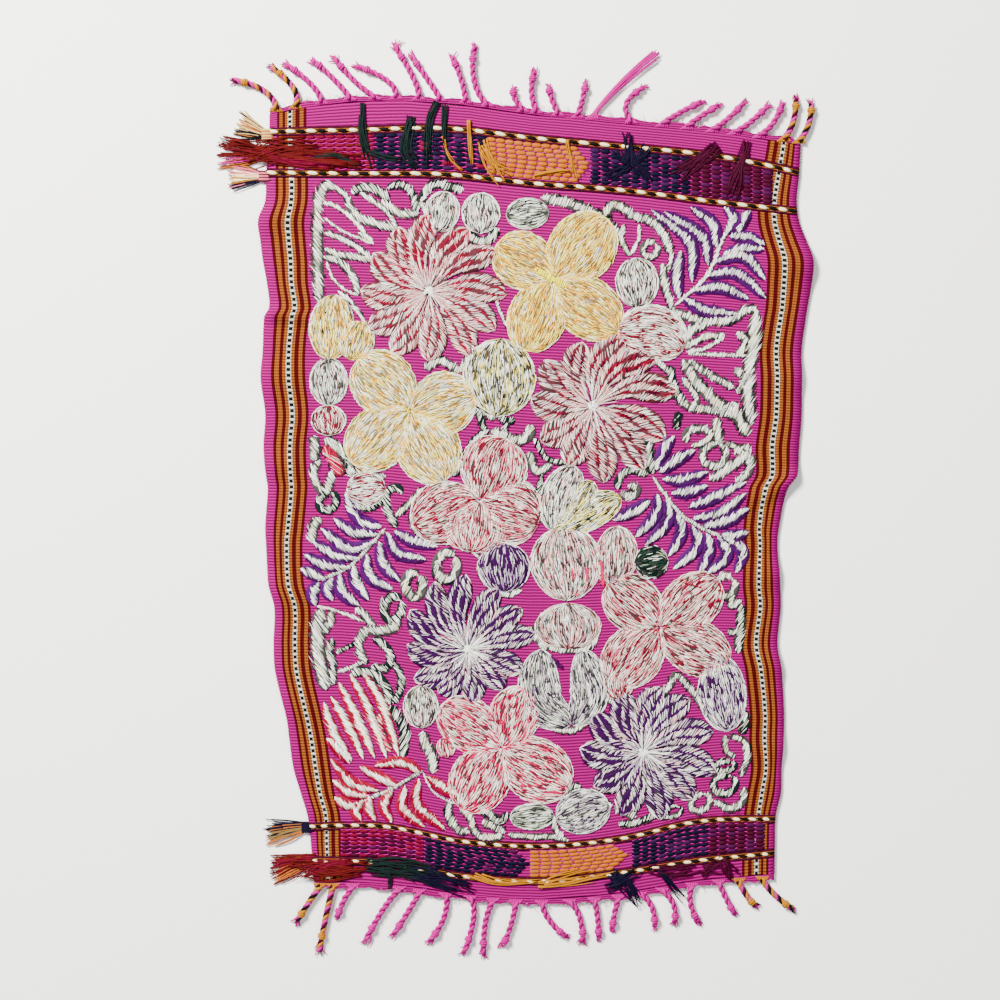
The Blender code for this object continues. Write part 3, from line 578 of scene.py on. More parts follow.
def smooth_route(points, count):
    """Evenly spaced points of the smooth curve through two, three or more places."""
    points = np.asarray(points, float)
    knots = np.concatenate(([0], np.cumsum(np.linalg.norm(np.diff(points, axis=0), axis=1))))
    at = np.linspace(0, knots[-1], 4 * count)
    dense = np.stack([eased(knots, points[:, axis], at) for axis in range(points.shape[1])], axis=1)
    length = np.concatenate(([0], np.cumsum(np.linalg.norm(np.diff(dense, axis=0), axis=1))))
    even = np.linspace(0, length[-1], count)
    return np.stack([np.interp(even, length, dense[:, axis]) for axis in range(points.shape[1])], axis=1)


def petal_profile(belly, blunt):
    return lambda share: np.sin(math.pi * share**belly) ** blunt


def bar_profile(round_share):
    def profile(share):
        near = np.minimum(np.minimum(share, 1 - share) / round_share, 1.0)
        return np.sqrt(np.clip(1 - (1 - near) ** 2, 0.02, 1.0))

    return profile


class Shape:
    """A raised shape of needlework: a bent middle line with a half width at each place along it."""

    STATIONS = 25

    def __init__(self, route, width, profile, rise):
        points = smooth_route(route, self.STATIONS)
        steps = np.linalg.norm(np.diff(points, axis=0), axis=1)
        heading = np.gradient(points, axis=0)
        heading /= np.linalg.norm(heading, axis=1)[:, None]
        self.share = np.linspace(0, 1, self.STATIONS)
        self.length = steps.sum()
        self.points = points
        self.normal = np.stack((-heading[:, 1], heading[:, 0]), axis=1)
        self.half = np.maximum(width / 2 * profile(self.share), 0.05)
        self.width = width
        self.rise = rise

    def half_at(self, share):
        return np.interp(share, self.share, self.half)

    def place(self, share, across):
        """Where a point lies: its share along the middle line, and -1 to 1 across it."""
        half = self.half_at(share) * across
        x = np.interp(share, self.share, self.points[:, 0])
        y = np.interp(share, self.share, self.points[:, 1])
        x = x + np.interp(share, self.share, self.normal[:, 0]) * half
        y = y + np.interp(share, self.share, self.normal[:, 1]) * half
        return x, y

    def height(self, share, across):
        dome = np.sqrt(np.clip(1 - across**2, 0.0, 1.0))
        return self.rise * dome * np.minimum(self.half_at(share) / (self.width * 0.22), 1.0)

    def lean_at(self, share, turn):
        """How far a thread laid at this turn runs on along the shape for each half width across."""
        grain = turned(turn, SATIN_LEAN)
        normal = np.stack([np.interp(share, self.share, self.normal[:, k]) for k in (0, 1)], axis=-1)
        over = normal @ grain
        along = normal[..., 1] * grain[0] - normal[..., 0] * grain[1]
        steepness = along / np.where(np.abs(over) < 0.5, np.where(over < 0, -0.5, 0.5), over)
        return steepness * self.half_at(share) / self.length

    def surface(self, share, across):
        x, y = self.place(share, across)
        return x, y, sheet_top(x, y) + self.height(share, across)


def add_bed(pile, shape, yarn, across=7, reach=1.0):
    """The padded ground under the stitches, closed underneath within the sheet; its colour is mostly painted
    shade, the dark that shows in the gaps between the stitches.
    """
    spread = np.linspace(reach, -reach, across)
    share = shape.share[:, None]
    x, y, z = shape.surface(*np.broadcast_arrays(share, spread[None, :]))
    top = np.stack((x, y, z), axis=-1)
    low = top[:, [-1, 0]].copy()
    low[..., 2] -= BED_SINK
    pile.add_rings(np.concatenate((top, low), axis=1), YARN_INDEX[yarn])


def pick(rng, palette, count):
    """Yarn numbers drawn from a palette of (yarn, weight) pairs."""
    names, weights = zip(*palette)
    weights = np.array(weights, float)
    drawn = rng.choice(len(names), count, p=weights / weights.sum())
    return np.array([YARN_INDEX[name] for name in names])[drawn]


def mottle(x, y, size, phase):
    """Soft patches from 0 to 1, about this many millimetres across."""
    k = math.pi / size
    wave = np.sin(k * (x * 1.1 + y * 0.4) + phase) + np.sin(k * (y * 1.2 - x * 0.6) + 2.1 * phase)
    wave += 0.7 * np.sin(k * 1.9 * (x * 0.3 + y) + 0.7 * phase)
    return np.clip(wave / 5 + 0.5, 0.0, 1.0)


def sew(pile, shape, start, end, yarn, width=THREAD, height=THREAD_HEIGHT, raised=0.0):
    """Threads over a shape, each from one (share, across) place to another."""
    steps = np.array((0.0, 0.25, 0.75, 1.0))
    share = start[0][:, None] + (end[0] - start[0])[:, None] * steps
    across = start[1][:, None] + (end[1] - start[1])[:, None] * steps
    x, y, z = shape.surface(np.clip(share, 0, 1), across)
    z = np.where(np.abs(across) > 1, sheet_top(x, y) + 0.1, z) + raised
    z[:, [0, 3]] -= 0.2
    pile.add_stitches(x, y, z, width, height, yarn)


COLUMN_WIDTH = 4.2
ROW_DEPTH = 4.4
STITCH_PITCH = 0.68
DEEP_PITCH = 0.70
# Where the pale threads part by more than this, deep ones are sewn between them
PARTED = 0.2
# How wide the patches of deep colour are in a petal's columns and in its rows
COLUMN_PATCH = 8.0
ROW_PATCH = 6.0
OUTLINE_STEP = 2.0


def part_of(look, x, y, size, phase, bias=1.0):
    """How far the pale threads draw apart here, from 0 where they meet to about 1."""
    patch = mottle(x, y, size, phase)
    return look.show * bias * np.clip(patch * 3.0 - 1.15, 0.0, 1.3)


def fill_columns(pile, shape, rng, look, columns, bias=1.0):
    """Slanted stitches in columns that run along a petal; the deep colour shows where they part."""
    count = max(4, round(shape.length / STITCH_PITCH))
    for column in range(columns):
        middle = (column + 0.5) / columns * 2 - 1
        phase = shape.length + 1.7 * column
        share = (np.arange(count) + rng.uniform(0.0, 1.0, count)) / count
        room = shape.half_at(share) / columns
        share = share[(room > 0.22) & (rng.uniform(0, 1, count) < room + 0.1)]
        number = len(share)
        if number == 0:
            continue
        gap = part_of(look, *shape.place(share, middle), COLUMN_PATCH, phase, bias)
        reach = np.maximum(1.16 - 0.5 * gap, 0.4) * rng.uniform(0.6, 1.3, (2, number)) / columns
        low, high = np.maximum(middle - reach[0], -1.06), np.minimum(middle + reach[1], 1.06)
        lean = COLUMN_WIDTH * 0.62 / shape.length * rng.uniform(0.7, 1.3, number)
        wide = THREAD * rng.uniform(0.75, 1.2, number)
        tall = THREAD_HEIGHT * rng.uniform(0.7, 1.3, number)
        sew(pile, shape, (share - lean, low), (share + lean, high), pick(rng, look.pale, number), wide, tall)
        if column == 0:
            continue
        share = np.arange(0.06, 0.97, DEEP_PITCH / shape.length)
        seam = middle - 1 / columns
        gap = part_of(look, *shape.place(share, seam), COLUMN_PATCH, phase, bias)
        keep = gap > PARTED
        share, gap = share[keep], gap[keep]
        number = len(share)
        reach = rng.uniform(0.35, 1.15, number) * gap / columns
        lean = COLUMN_WIDTH * 0.4 / shape.length
        start, end = (share - lean, seam - reach), (share + lean, seam + reach)
        sew(pile, shape, start, end, pick(rng, look.deep, number), THREAD, THREAD_HEIGHT, 0.02)


def fill_rows(pile, shape, rng, look):
    """Long and short stitches along a petal, laid like fur; the deep colour shows in soft patches."""
    rows = max(2, round(shape.length / ROW_DEPTH))
    phase = rng.uniform(0, 6)
    for row in range(rows):
        for pitch, deep in ((STITCH_PITCH, False), (DEEP_PITCH, True)):
            count = max(2, round(2 * shape.half_at((row + 0.5) / rows) / pitch))
            across = (np.arange(count) + rng.uniform(0.0, 1.0, count)) / count * 2 - 1
            place = (row + rng.uniform(0.0, 1.0, count)) / rows
            gap = part_of(look, *shape.place(place, across), ROW_PATCH, phase)
            if deep:
                keep = (gap > PARTED) & (np.abs(across) < 0.92)
            else:
                keep = rng.uniform(0.0, 1.0, count) > 0.45 * gap
            across, place = across[keep], place[keep]
            number = len(across)
            reach = rng.uniform(0.3, 0.7, number) if deep else rng.uniform(0.55, 1.15, number)
            lean = 0.7 / shape.width * rng.uniform(-0.4, 2.4, number)
            yarn = pick(rng, look.deep if deep else look.pale, number)
            wide = THREAD * rng.uniform(0.75, 1.25, number)
            tall = THREAD_HEIGHT * rng.uniform(0.7, 1.3, number)
            start, end = (place - reach / rows, across - lean), (place + reach / rows, across + lean)
            sew(pile, shape, start, end, yarn, wide, tall, 0.06 if deep else 0.0)


def outline(pile, shape, rng, palette):
    """A thin line of stitches that binds the edge of a shape."""
    for side in (-1, 1):
        count = max(3, round(shape.length * 1.1 / OUTLINE_STEP))
        share = (np.arange(count) + rng.uniform(0.3, 0.7, count)) / count
        reach = 0.75 * OUTLINE_STEP / shape.length
        start = share - reach, side * rng.uniform(0.97, 1.03, count)
        end = share + reach, side * rng.uniform(0.95, 1.01, count)
        sew(pile, shape, start, end, pick(rng, palette, count), THREAD, THREAD_HEIGHT, 0.15)


# The satin bars' threads lean one way in the left corner and the other way in the rest
SATIN_LEAN = 0.9
SATIN_TURNS = (128, 66)
LEAN_CHANGES = -60


def satin(pile, shape, rng, look, pitch=0.70, cover=1.0, edges=0.5, raised=0.0, drift=0.0):
    """Threads laid side by side across a bar or leaf, with toothed ends and dark edges."""
    turn = SATIN_TURNS[shape.points[:, 0].mean() > LEAN_CHANGES]
    count = max(3, round(shape.length / pitch))
    share = (np.arange(count) + rng.uniform(0.0, 1.0, count)) / count
    lean = shape.lean_at(share, turn) * rng.uniform(0.7, 1.3, count)
    teeth = rng.uniform(0.55, 1.2, (2, count // 3 + 1)).repeat(3, axis=1)[:, :count]
    low = drift - cover * teeth[0] * rng.uniform(0.7, 1.15, count)
    high = drift + cover * teeth[1] * rng.uniform(0.7, 1.15, count)
    yarn = pick(rng, look.pale, count)
    wide = SATIN_THREAD * rng.uniform(0.7, 1.3, count)
    tall = THREAD_HEIGHT * rng.uniform(0.5, 1.3, count)
    sew(pile, shape, (share + lean * low, low), (share + lean * high, high), yarn, wide, tall, raised)
    flecks = round(count * edges)
    if flecks == 0:
        return
    share = rng.uniform(0.02, 0.98, flecks)
    side = rng.choice((-1.0, 1.0)) * np.where(rng.uniform(0, 1, flecks) < 0.7, 1.0, -1.0)
    lean = shape.lean_at(share, turn)
    outer = side * rng.uniform(0.9, 1.25, flecks) * cover
    inner = side * rng.uniform(0.4, 0.75, flecks) * cover
    yarn = pick(rng, look.deep, flecks)
    start, end = (share + lean * outer, outer), (share + lean * inner, inner)
    sew(pile, shape, start, end, yarn, THREAD * 0.9, THREAD_HEIGHT * 1.3, raised)


# What each kind of needlework is sewn with: the padding's colour, mostly a dark tone painted as the shade
# that shows in the gaps between the threads (for leaves and berries their own violet or crimson), the pale
# threads on top, the deep threads between them, how far those show, and the binding of its edge
Look = namedtuple("Look", "bed pale deep show rim")
SATIN_PALE = (("ivory", 8), ("sage", 2.6), ("cream", 1), ("blush", 0.3), ("dusk", 0.9))
# Dark flecks at a satin bar's edges: the moss is dark thread, the grey is painted shade along the edge
EDGE_DARK = (("moss", 3), ("dusk", 4))
LOOKS = {
    "yellow": Look(
        "umber",
        pale=(("butter", 7), ("ivory", 1.6), ("lilac", 0.8), ("straw", 1.6), ("amber", 1.6)),
        deep=(("amber", 6), ("straw", 1)),
        show=0.95,
        rim=(("butter", 3), ("ivory", 1)),
    ),
    "lemon": Look(
        "umber",
        pale=(("butter", 4), ("ivory", 5), ("sage", 1.4), ("straw", 1)),
        deep=(("amber", 4), ("straw", 2)),
        show=0.75,
        rim=(("butter", 3), ("ivory", 3)),
    ),
    "crimson": Look(
        "maroon",
        pale=(("ivory", 3), ("blush", 6), ("lilac", 2), ("dusk", 1), ("rose", 1), ("crimson", 0.8)),
        deep=(("crimson", 5), ("rose", 0.6)),
        show=0.9,
        rim=(("ivory", 2), ("blush", 5), ("lilac", 1)),
    ),
    "mauve": Look(
        "maroon",
        pale=(("blush", 5), ("ivory", 3), ("lilac", 2), ("dusk", 1.4), ("maroon", 1.4), ("rose", 0.8)),
        deep=(("crimson", 3), ("wine", 2)),
        show=0.8,
        rim=(("blush", 4), ("ivory", 3)),
    ),
    "violet": Look(
        "grape",
        pale=(("ivory", 4), ("blush", 1.6), ("lilac", 3), ("dusk", 1), ("violet", 3)),
        deep=(("violet", 6), ("grape", 1)),
        show=0.95,
        rim=(("ivory", 5), ("lilac", 3)),
    ),
    "rose": Look(
        "maroon",
        pale=(("ivory", 5.5), ("blush", 4), ("sage", 1), ("rose", 1.2), ("crimson", 1), ("dusk", 0.7)),
        deep=(("crimson", 4), ("rose", 2)),
        show=0.95,
        rim=(("ivory", 5), ("blush", 3)),
    ),
    "pink": Look(
        "maroon",
        pale=(("ivory", 5), ("blush", 4), ("sage", 1.2), ("rose", 1.2), ("dusk", 1)),
        deep=(("crimson", 3), ("rose", 1)),
        show=0.75,
        rim=(("blush", 5), ("ivory", 2)),
    ),
    "coral": Look(
        "maroon",
        pale=(("ivory", 6), ("blush", 4), ("coral", 1.4), ("dusk", 0.6)),
        deep=(("coral", 6), ("crimson", 2)),
        show=1.05,
        rim=(("blush", 5), ("ivory", 3)),
    ),
    "shell": Look(
        "dusk",
        pale=(("ivory", 6), ("blush", 4), ("sage", 1.4), ("lilac", 1)),
        deep=(("maroon", 3), ("rose", 1.5)),
        show=0.75,
        rim=(("blush", 4), ("ivory", 3)),
    ),
    "slate": Look(
        "dusk",
        pale=(("ivory", 6), ("lilac", 4), ("sage", 1)),
        deep=(("grape", 4), ("dusk", 2)),
        show=0.8,
        rim=(("ivory", 5), ("lilac", 3)),
    ),
    "cream": Look(
        "dusk",
        pale=(("ivory", 6), ("butter", 4), ("sage", 1.4)),
        deep=(("moss", 2), ("umber", 2)),
        show=0.7,
        rim=(("ivory", 6), ("butter", 2)),
    ),
    "honey": Look(
        "umber",
        pale=(("ivory", 4), ("butter", 5), ("sage", 1), ("straw", 1)),
        deep=(("amber", 5), ("moss", 1.5)),
        show=0.9,
        rim=(("ivory", 6), ("sage", 2)),
    ),
    "pearl": Look(
        "dusk",
        pale=(("ivory", 9), ("blush", 1.6), ("sage", 1.6)),
        deep=(("maroon", 2), ("dusk", 2), ("moss", 1)),
        show=0.6,
        rim=(("ivory", 6), ("sage", 1)),
    ),
    "rosebud": Look(
        "maroon",
        pale=(("ivory", 8), ("blush", 3), ("sage", 1)),
        deep=(("crimson", 4), ("maroon", 1)),
        show=0.8,
        rim=(("ivory", 6), ("sage", 1)),
    ),
    "sage": Look(
        "dusk",
        pale=(("ivory", 6), ("sage", 4)),
        deep=(("moss", 2), ("dusk", 3)),
        show=0.6,
        rim=(("ivory", 4), ("sage", 3)),
    ),
    "violet_bud": Look(
        "grape",
        pale=(("lilac", 4), ("ivory", 3), ("violet", 3)),
        deep=(("violet", 5), ("grape", 1)),
        show=1.1,
        rim=(("ivory", 5), ("sage", 1)),
    ),
    "net": Look(
        "grape",
        pale=(("ivory", 6), ("lilac", 4)),
        deep=(("violet", 6), ("grape", 1)),
        show=1.0,
        rim=(("ivory", 8), ("sage", 1)),
    ),
    "knot": Look(
        "moss",
        pale=(("moss", 5), ("ivory", 2), ("green", 3), ("sage", 1)),
        deep=EDGE_DARK,
        show=1.0,
        rim=(("moss", 3), ("ivory", 2)),
    ),
    "scroll": Look("dusk", SATIN_PALE, EDGE_DARK, 0.3, SATIN_PALE),
    "thin": Look("dusk", (("ivory", 8), ("blush", 1.5), ("sage", 0.5)), EDGE_DARK, 0.3, SATIN_PALE),
    "grey": Look("moss", (("sage", 4), ("ivory", 5), ("dusk", 2)), EDGE_DARK, 0.5, SATIN_PALE),
    "dark": Look("moss", (("sage", 3), ("ivory", 5), ("moss", 2.4)), EDGE_DARK, 0.5, SATIN_PALE),
    "knots": Look("moss", (("ivory", 3), ("moss", 5), ("sage", 1)), EDGE_DARK, 0.5, SATIN_PALE),
    "berry": Look("crimson", (("coral", 3), ("crimson", 3), ("blush", 3)), EDGE_DARK, 0.5, ()),
    "fern": Look(
        "violet",
        pale=(("ivory", 6), ("sage", 1), ("lilac", 2.5), ("dusk", 0.6)),
        deep=(("violet", 5), ("grape", 2)),
        show=0.5,
        rim=(),
    ),
    "spray": Look(
        "crimson",
        pale=(("ivory", 5), ("blush", 4), ("sage", 1), ("dusk", 0.5)),
        deep=(("crimson", 5), ("rose", 1)),
        show=0.5,
        rim=(),
    ),
    "blade": Look(
        "crimson",
        pale=(("ivory", 7), ("blush", 1.5), ("sage", 1), ("cream", 1)),
        deep=(("crimson", 5), ("rose", 1)),
        show=0.5,
        rim=(),
    ),
}

# Pinwheels of curved petals: middle of the outline and middle of the eye in pixels, radius in
# millimetres, turn of the first petal, and towards which turn and how much the deep colour shows
Pinwheel = namedtuple("Pinwheel", "px py eye_px eye_py radius petals turn look deep_turn deep")
PINWHEELS = (
    Pinwheel(433, 290, 429, 292, 44, 12, 5, "crimson", 80, 1.0),
    Pinwheel(604, 407, 593, 406, 43, 11, 14, "mauve", 30, 0.8),
    Pinwheel(468, 640, 468, 650, 38, 12, 8, "violet", 120, 1.1),
    Pinwheel(648, 750, 643, 752, 40, 11, 22, "violet", 180, 1.0),
)
# Petals that meet at a flower's middle, each given as its turn, its length and its width
Rosette = namedtuple("Rosette", "px py look petals")
ROSETTES = (
    Rosette(553, 280, "yellow", ((148, 40, 35), (48, 49, 40), (247, 46, 35), (321, 50, 36))),
    Rosette(410, 411, "lemon", ((134, 44, 38), (13, 40, 38), (221, 47, 37), (296, 47, 39))),
    Rosette(480, 500, "rose", ((67, 40, 41), (200, 43, 38), (338, 38, 41), (258, 32, 44))),
    Rosette(567, 602, "shell", ((91, 45, 43), (272, 28, 40))),
    Rosette(659, 628, "pink", ((137, 41, 34), (39, 46, 33), (227, 44, 35), (332, 47, 33))),
    Rosette(501, 747, "coral", ((145, 44, 32), (67, 39, 31), (237, 44, 36), (328, 48, 38))),
)
# Hearts and buds: a foot, a middle and a tip in pixels, and a width in millimetres
Lobe = namedtuple("Lobe", "foot middle tip width look")
LOBES = (
    Lobe((553, 531), (561, 497), (575, 466), 25, "pearl"),
    Lobe((552, 530), (588, 512), (621, 498), 22, "cream"),
    Lobe((556, 526), (578, 502), (594, 482), 19, "cream"),
    Lobe((570, 725), (541, 700), (541, 649), 26, "slate"),
    Lobe((573, 725), (589, 696), (583, 649), 23, "slate"),
    Lobe((436, 232), (442, 213), (447, 192), 21, "pearl"),
    Lobe((480, 234), (481, 213), (483, 193), 23, "pearl"),
    Lobe((506, 216), (527, 214), (549, 213), 19, "sage"),
    Lobe((329, 360), (332, 326), (336, 295), 27, "honey"),
    Lobe((350, 360), (356, 342), (362, 322), 22, "honey"),
    Lobe((329, 406), (329, 382), (329, 358), 23, "pearl"),
    Lobe((329, 436), (329, 421), (329, 405), 21, "rosebud"),
    Lobe((496, 417), (499, 378), (502, 339), 44, "cream"),
    Lobe((637, 308), (637, 283), (637, 258), 26, "pearl"),
    Lobe((684, 349), (655, 334), (617, 330), 34, "rosebud"),
    Lobe((347, 489), (366, 489), (386, 490), 21, "rosebud"),
    Lobe((504, 592), (504, 568), (504, 543), 32, "violet_bud"),
    Lobe((634, 563), (651, 562), (668, 561), 20, "knot"),
    Lobe((421, 728), (421, 706), (421, 685), 21, "pearl"),
    Lobe((618, 700), (618, 684), (618, 669), 18, "pink"),
    Lobe((727, 731), (722, 696), (719, 655), 29, "net"),
    Lobe((556, 818), (582, 811), (610, 806), 27, "slate"),
    Lobe((510, 817), (532, 816), (554, 816), 16, "sage"),
    Lobe((610, 586), (616, 556), (618, 526), 26, "shell"),
    Lobe((447, 757), (446, 747), (444, 737), 11, "coral"),
)

# Leaflets and blades, each along three places from foot to tip
Leaf = namedtuple("Leaf", "foot middle tip")
FERNS = (
    Leaf((692, 283), (690, 243), (651, 210)),
    Leaf((708, 266), (703, 238), (664, 212)),
    Leaf((679, 299), (677, 275), (681, 251)),
    Leaf((717, 249), (713, 225), (690, 207)),
    Leaf((726, 235), (734, 220), (724, 207)),
    Leaf((738, 233), (742, 222), (750, 211)),
    Leaf((729, 237), (748, 238), (764, 246)),
    Leaf((722, 256), (741, 250), (764, 250)),
    Leaf((714, 263), (742, 257), (765, 281)),
    Leaf((706, 277), (735, 274), (766, 299)),
    Leaf((692, 292), (719, 288), (749, 300)),
    Leaf((682, 298), (704, 311), (738, 315)),
    Leaf((382, 527), (358, 518), (346, 492)),
    Leaf((378, 534), (353, 531), (334, 518)),
    Leaf((374, 542), (350, 548), (321, 528)),
    Leaf((359, 558), (335, 554), (313, 541)),
    Leaf((348, 567), (325, 564), (304, 554)),
    Leaf((324, 578), (314, 574), (301, 568)),
    Leaf((394, 531), (412, 541), (438, 547)),
    Leaf((386, 532), (398, 553), (427, 560)),
    Leaf((379, 541), (384, 566), (401, 582)),
    Leaf((367, 553), (369, 576), (393, 590)),
    Leaf((353, 565), (356, 583), (369, 600)),
    Leaf((340, 573), (342, 592), (360, 606)),
    Leaf((332, 577), (327, 589), (333, 601)),
    Leaf((319, 582), (313, 593), (316, 606)),
    Leaf((656, 470), (663, 452), (674, 436)),
    Leaf((659, 473), (676, 461), (695, 450)),
    Leaf((662, 479), (683, 480), (708, 472)),
    Leaf((671, 494), (689, 492), (708, 486)),
    Leaf((688, 508), (716, 497), (746, 482)),
    Leaf((692, 519), (719, 514), (746, 493)),
    Leaf((701, 527), (727, 521), (749, 508)),
    Leaf((720, 535), (734, 536), (748, 532)),
    Leaf((650, 500), (633, 511), (613, 520)),
    Leaf((657, 494), (656, 514), (635, 537)),
    Leaf((666, 499), (668, 520), (645, 545)),
    Leaf((677, 513), (681, 534), (668, 556)),
    Leaf((691, 525), (698, 545), (673, 569)),
    Leaf((706, 533), (709, 551), (698, 573)),
    Leaf((717, 537), (727, 555), (706, 574)),
    Leaf((723, 537), (742, 552), (735, 573)),
)
SPRAY = (
    Leaf((422, 772), (402, 762), (374, 765)),
    Leaf((398, 785), (382, 778), (360, 766)),
    Leaf((379, 790), (352, 782), (331, 758)),
    Leaf((369, 795), (350, 792), (333, 779)),
    Leaf((356, 806), (345, 803), (335, 796)),
    Leaf((369, 795), (369, 809), (376, 820)),
    Leaf((361, 800), (356, 812), (362, 821)),
    Leaf((392, 789), (384, 805), (392, 822)),
    Leaf((405, 785), (403, 808), (425, 827)),
    Leaf((419, 778), (417, 804), (446, 830)),
    Leaf((426, 776), (444, 788), (463, 798)),
)
BLADES = (
    Leaf((324, 702), (333, 730), (352, 761)),
    Leaf((331, 696), (347, 724), (364, 759)),
    Leaf((339, 682), (354, 712), (375, 758)),
    Leaf((350, 674), (366, 703), (387, 758)),
    Leaf((363, 672), (381, 702), (399, 756)),
    Leaf((327, 738), (337, 748), (350, 763)),
)
LEAF_WIDTH = 9.2
BLADE_WIDTH = 7.6

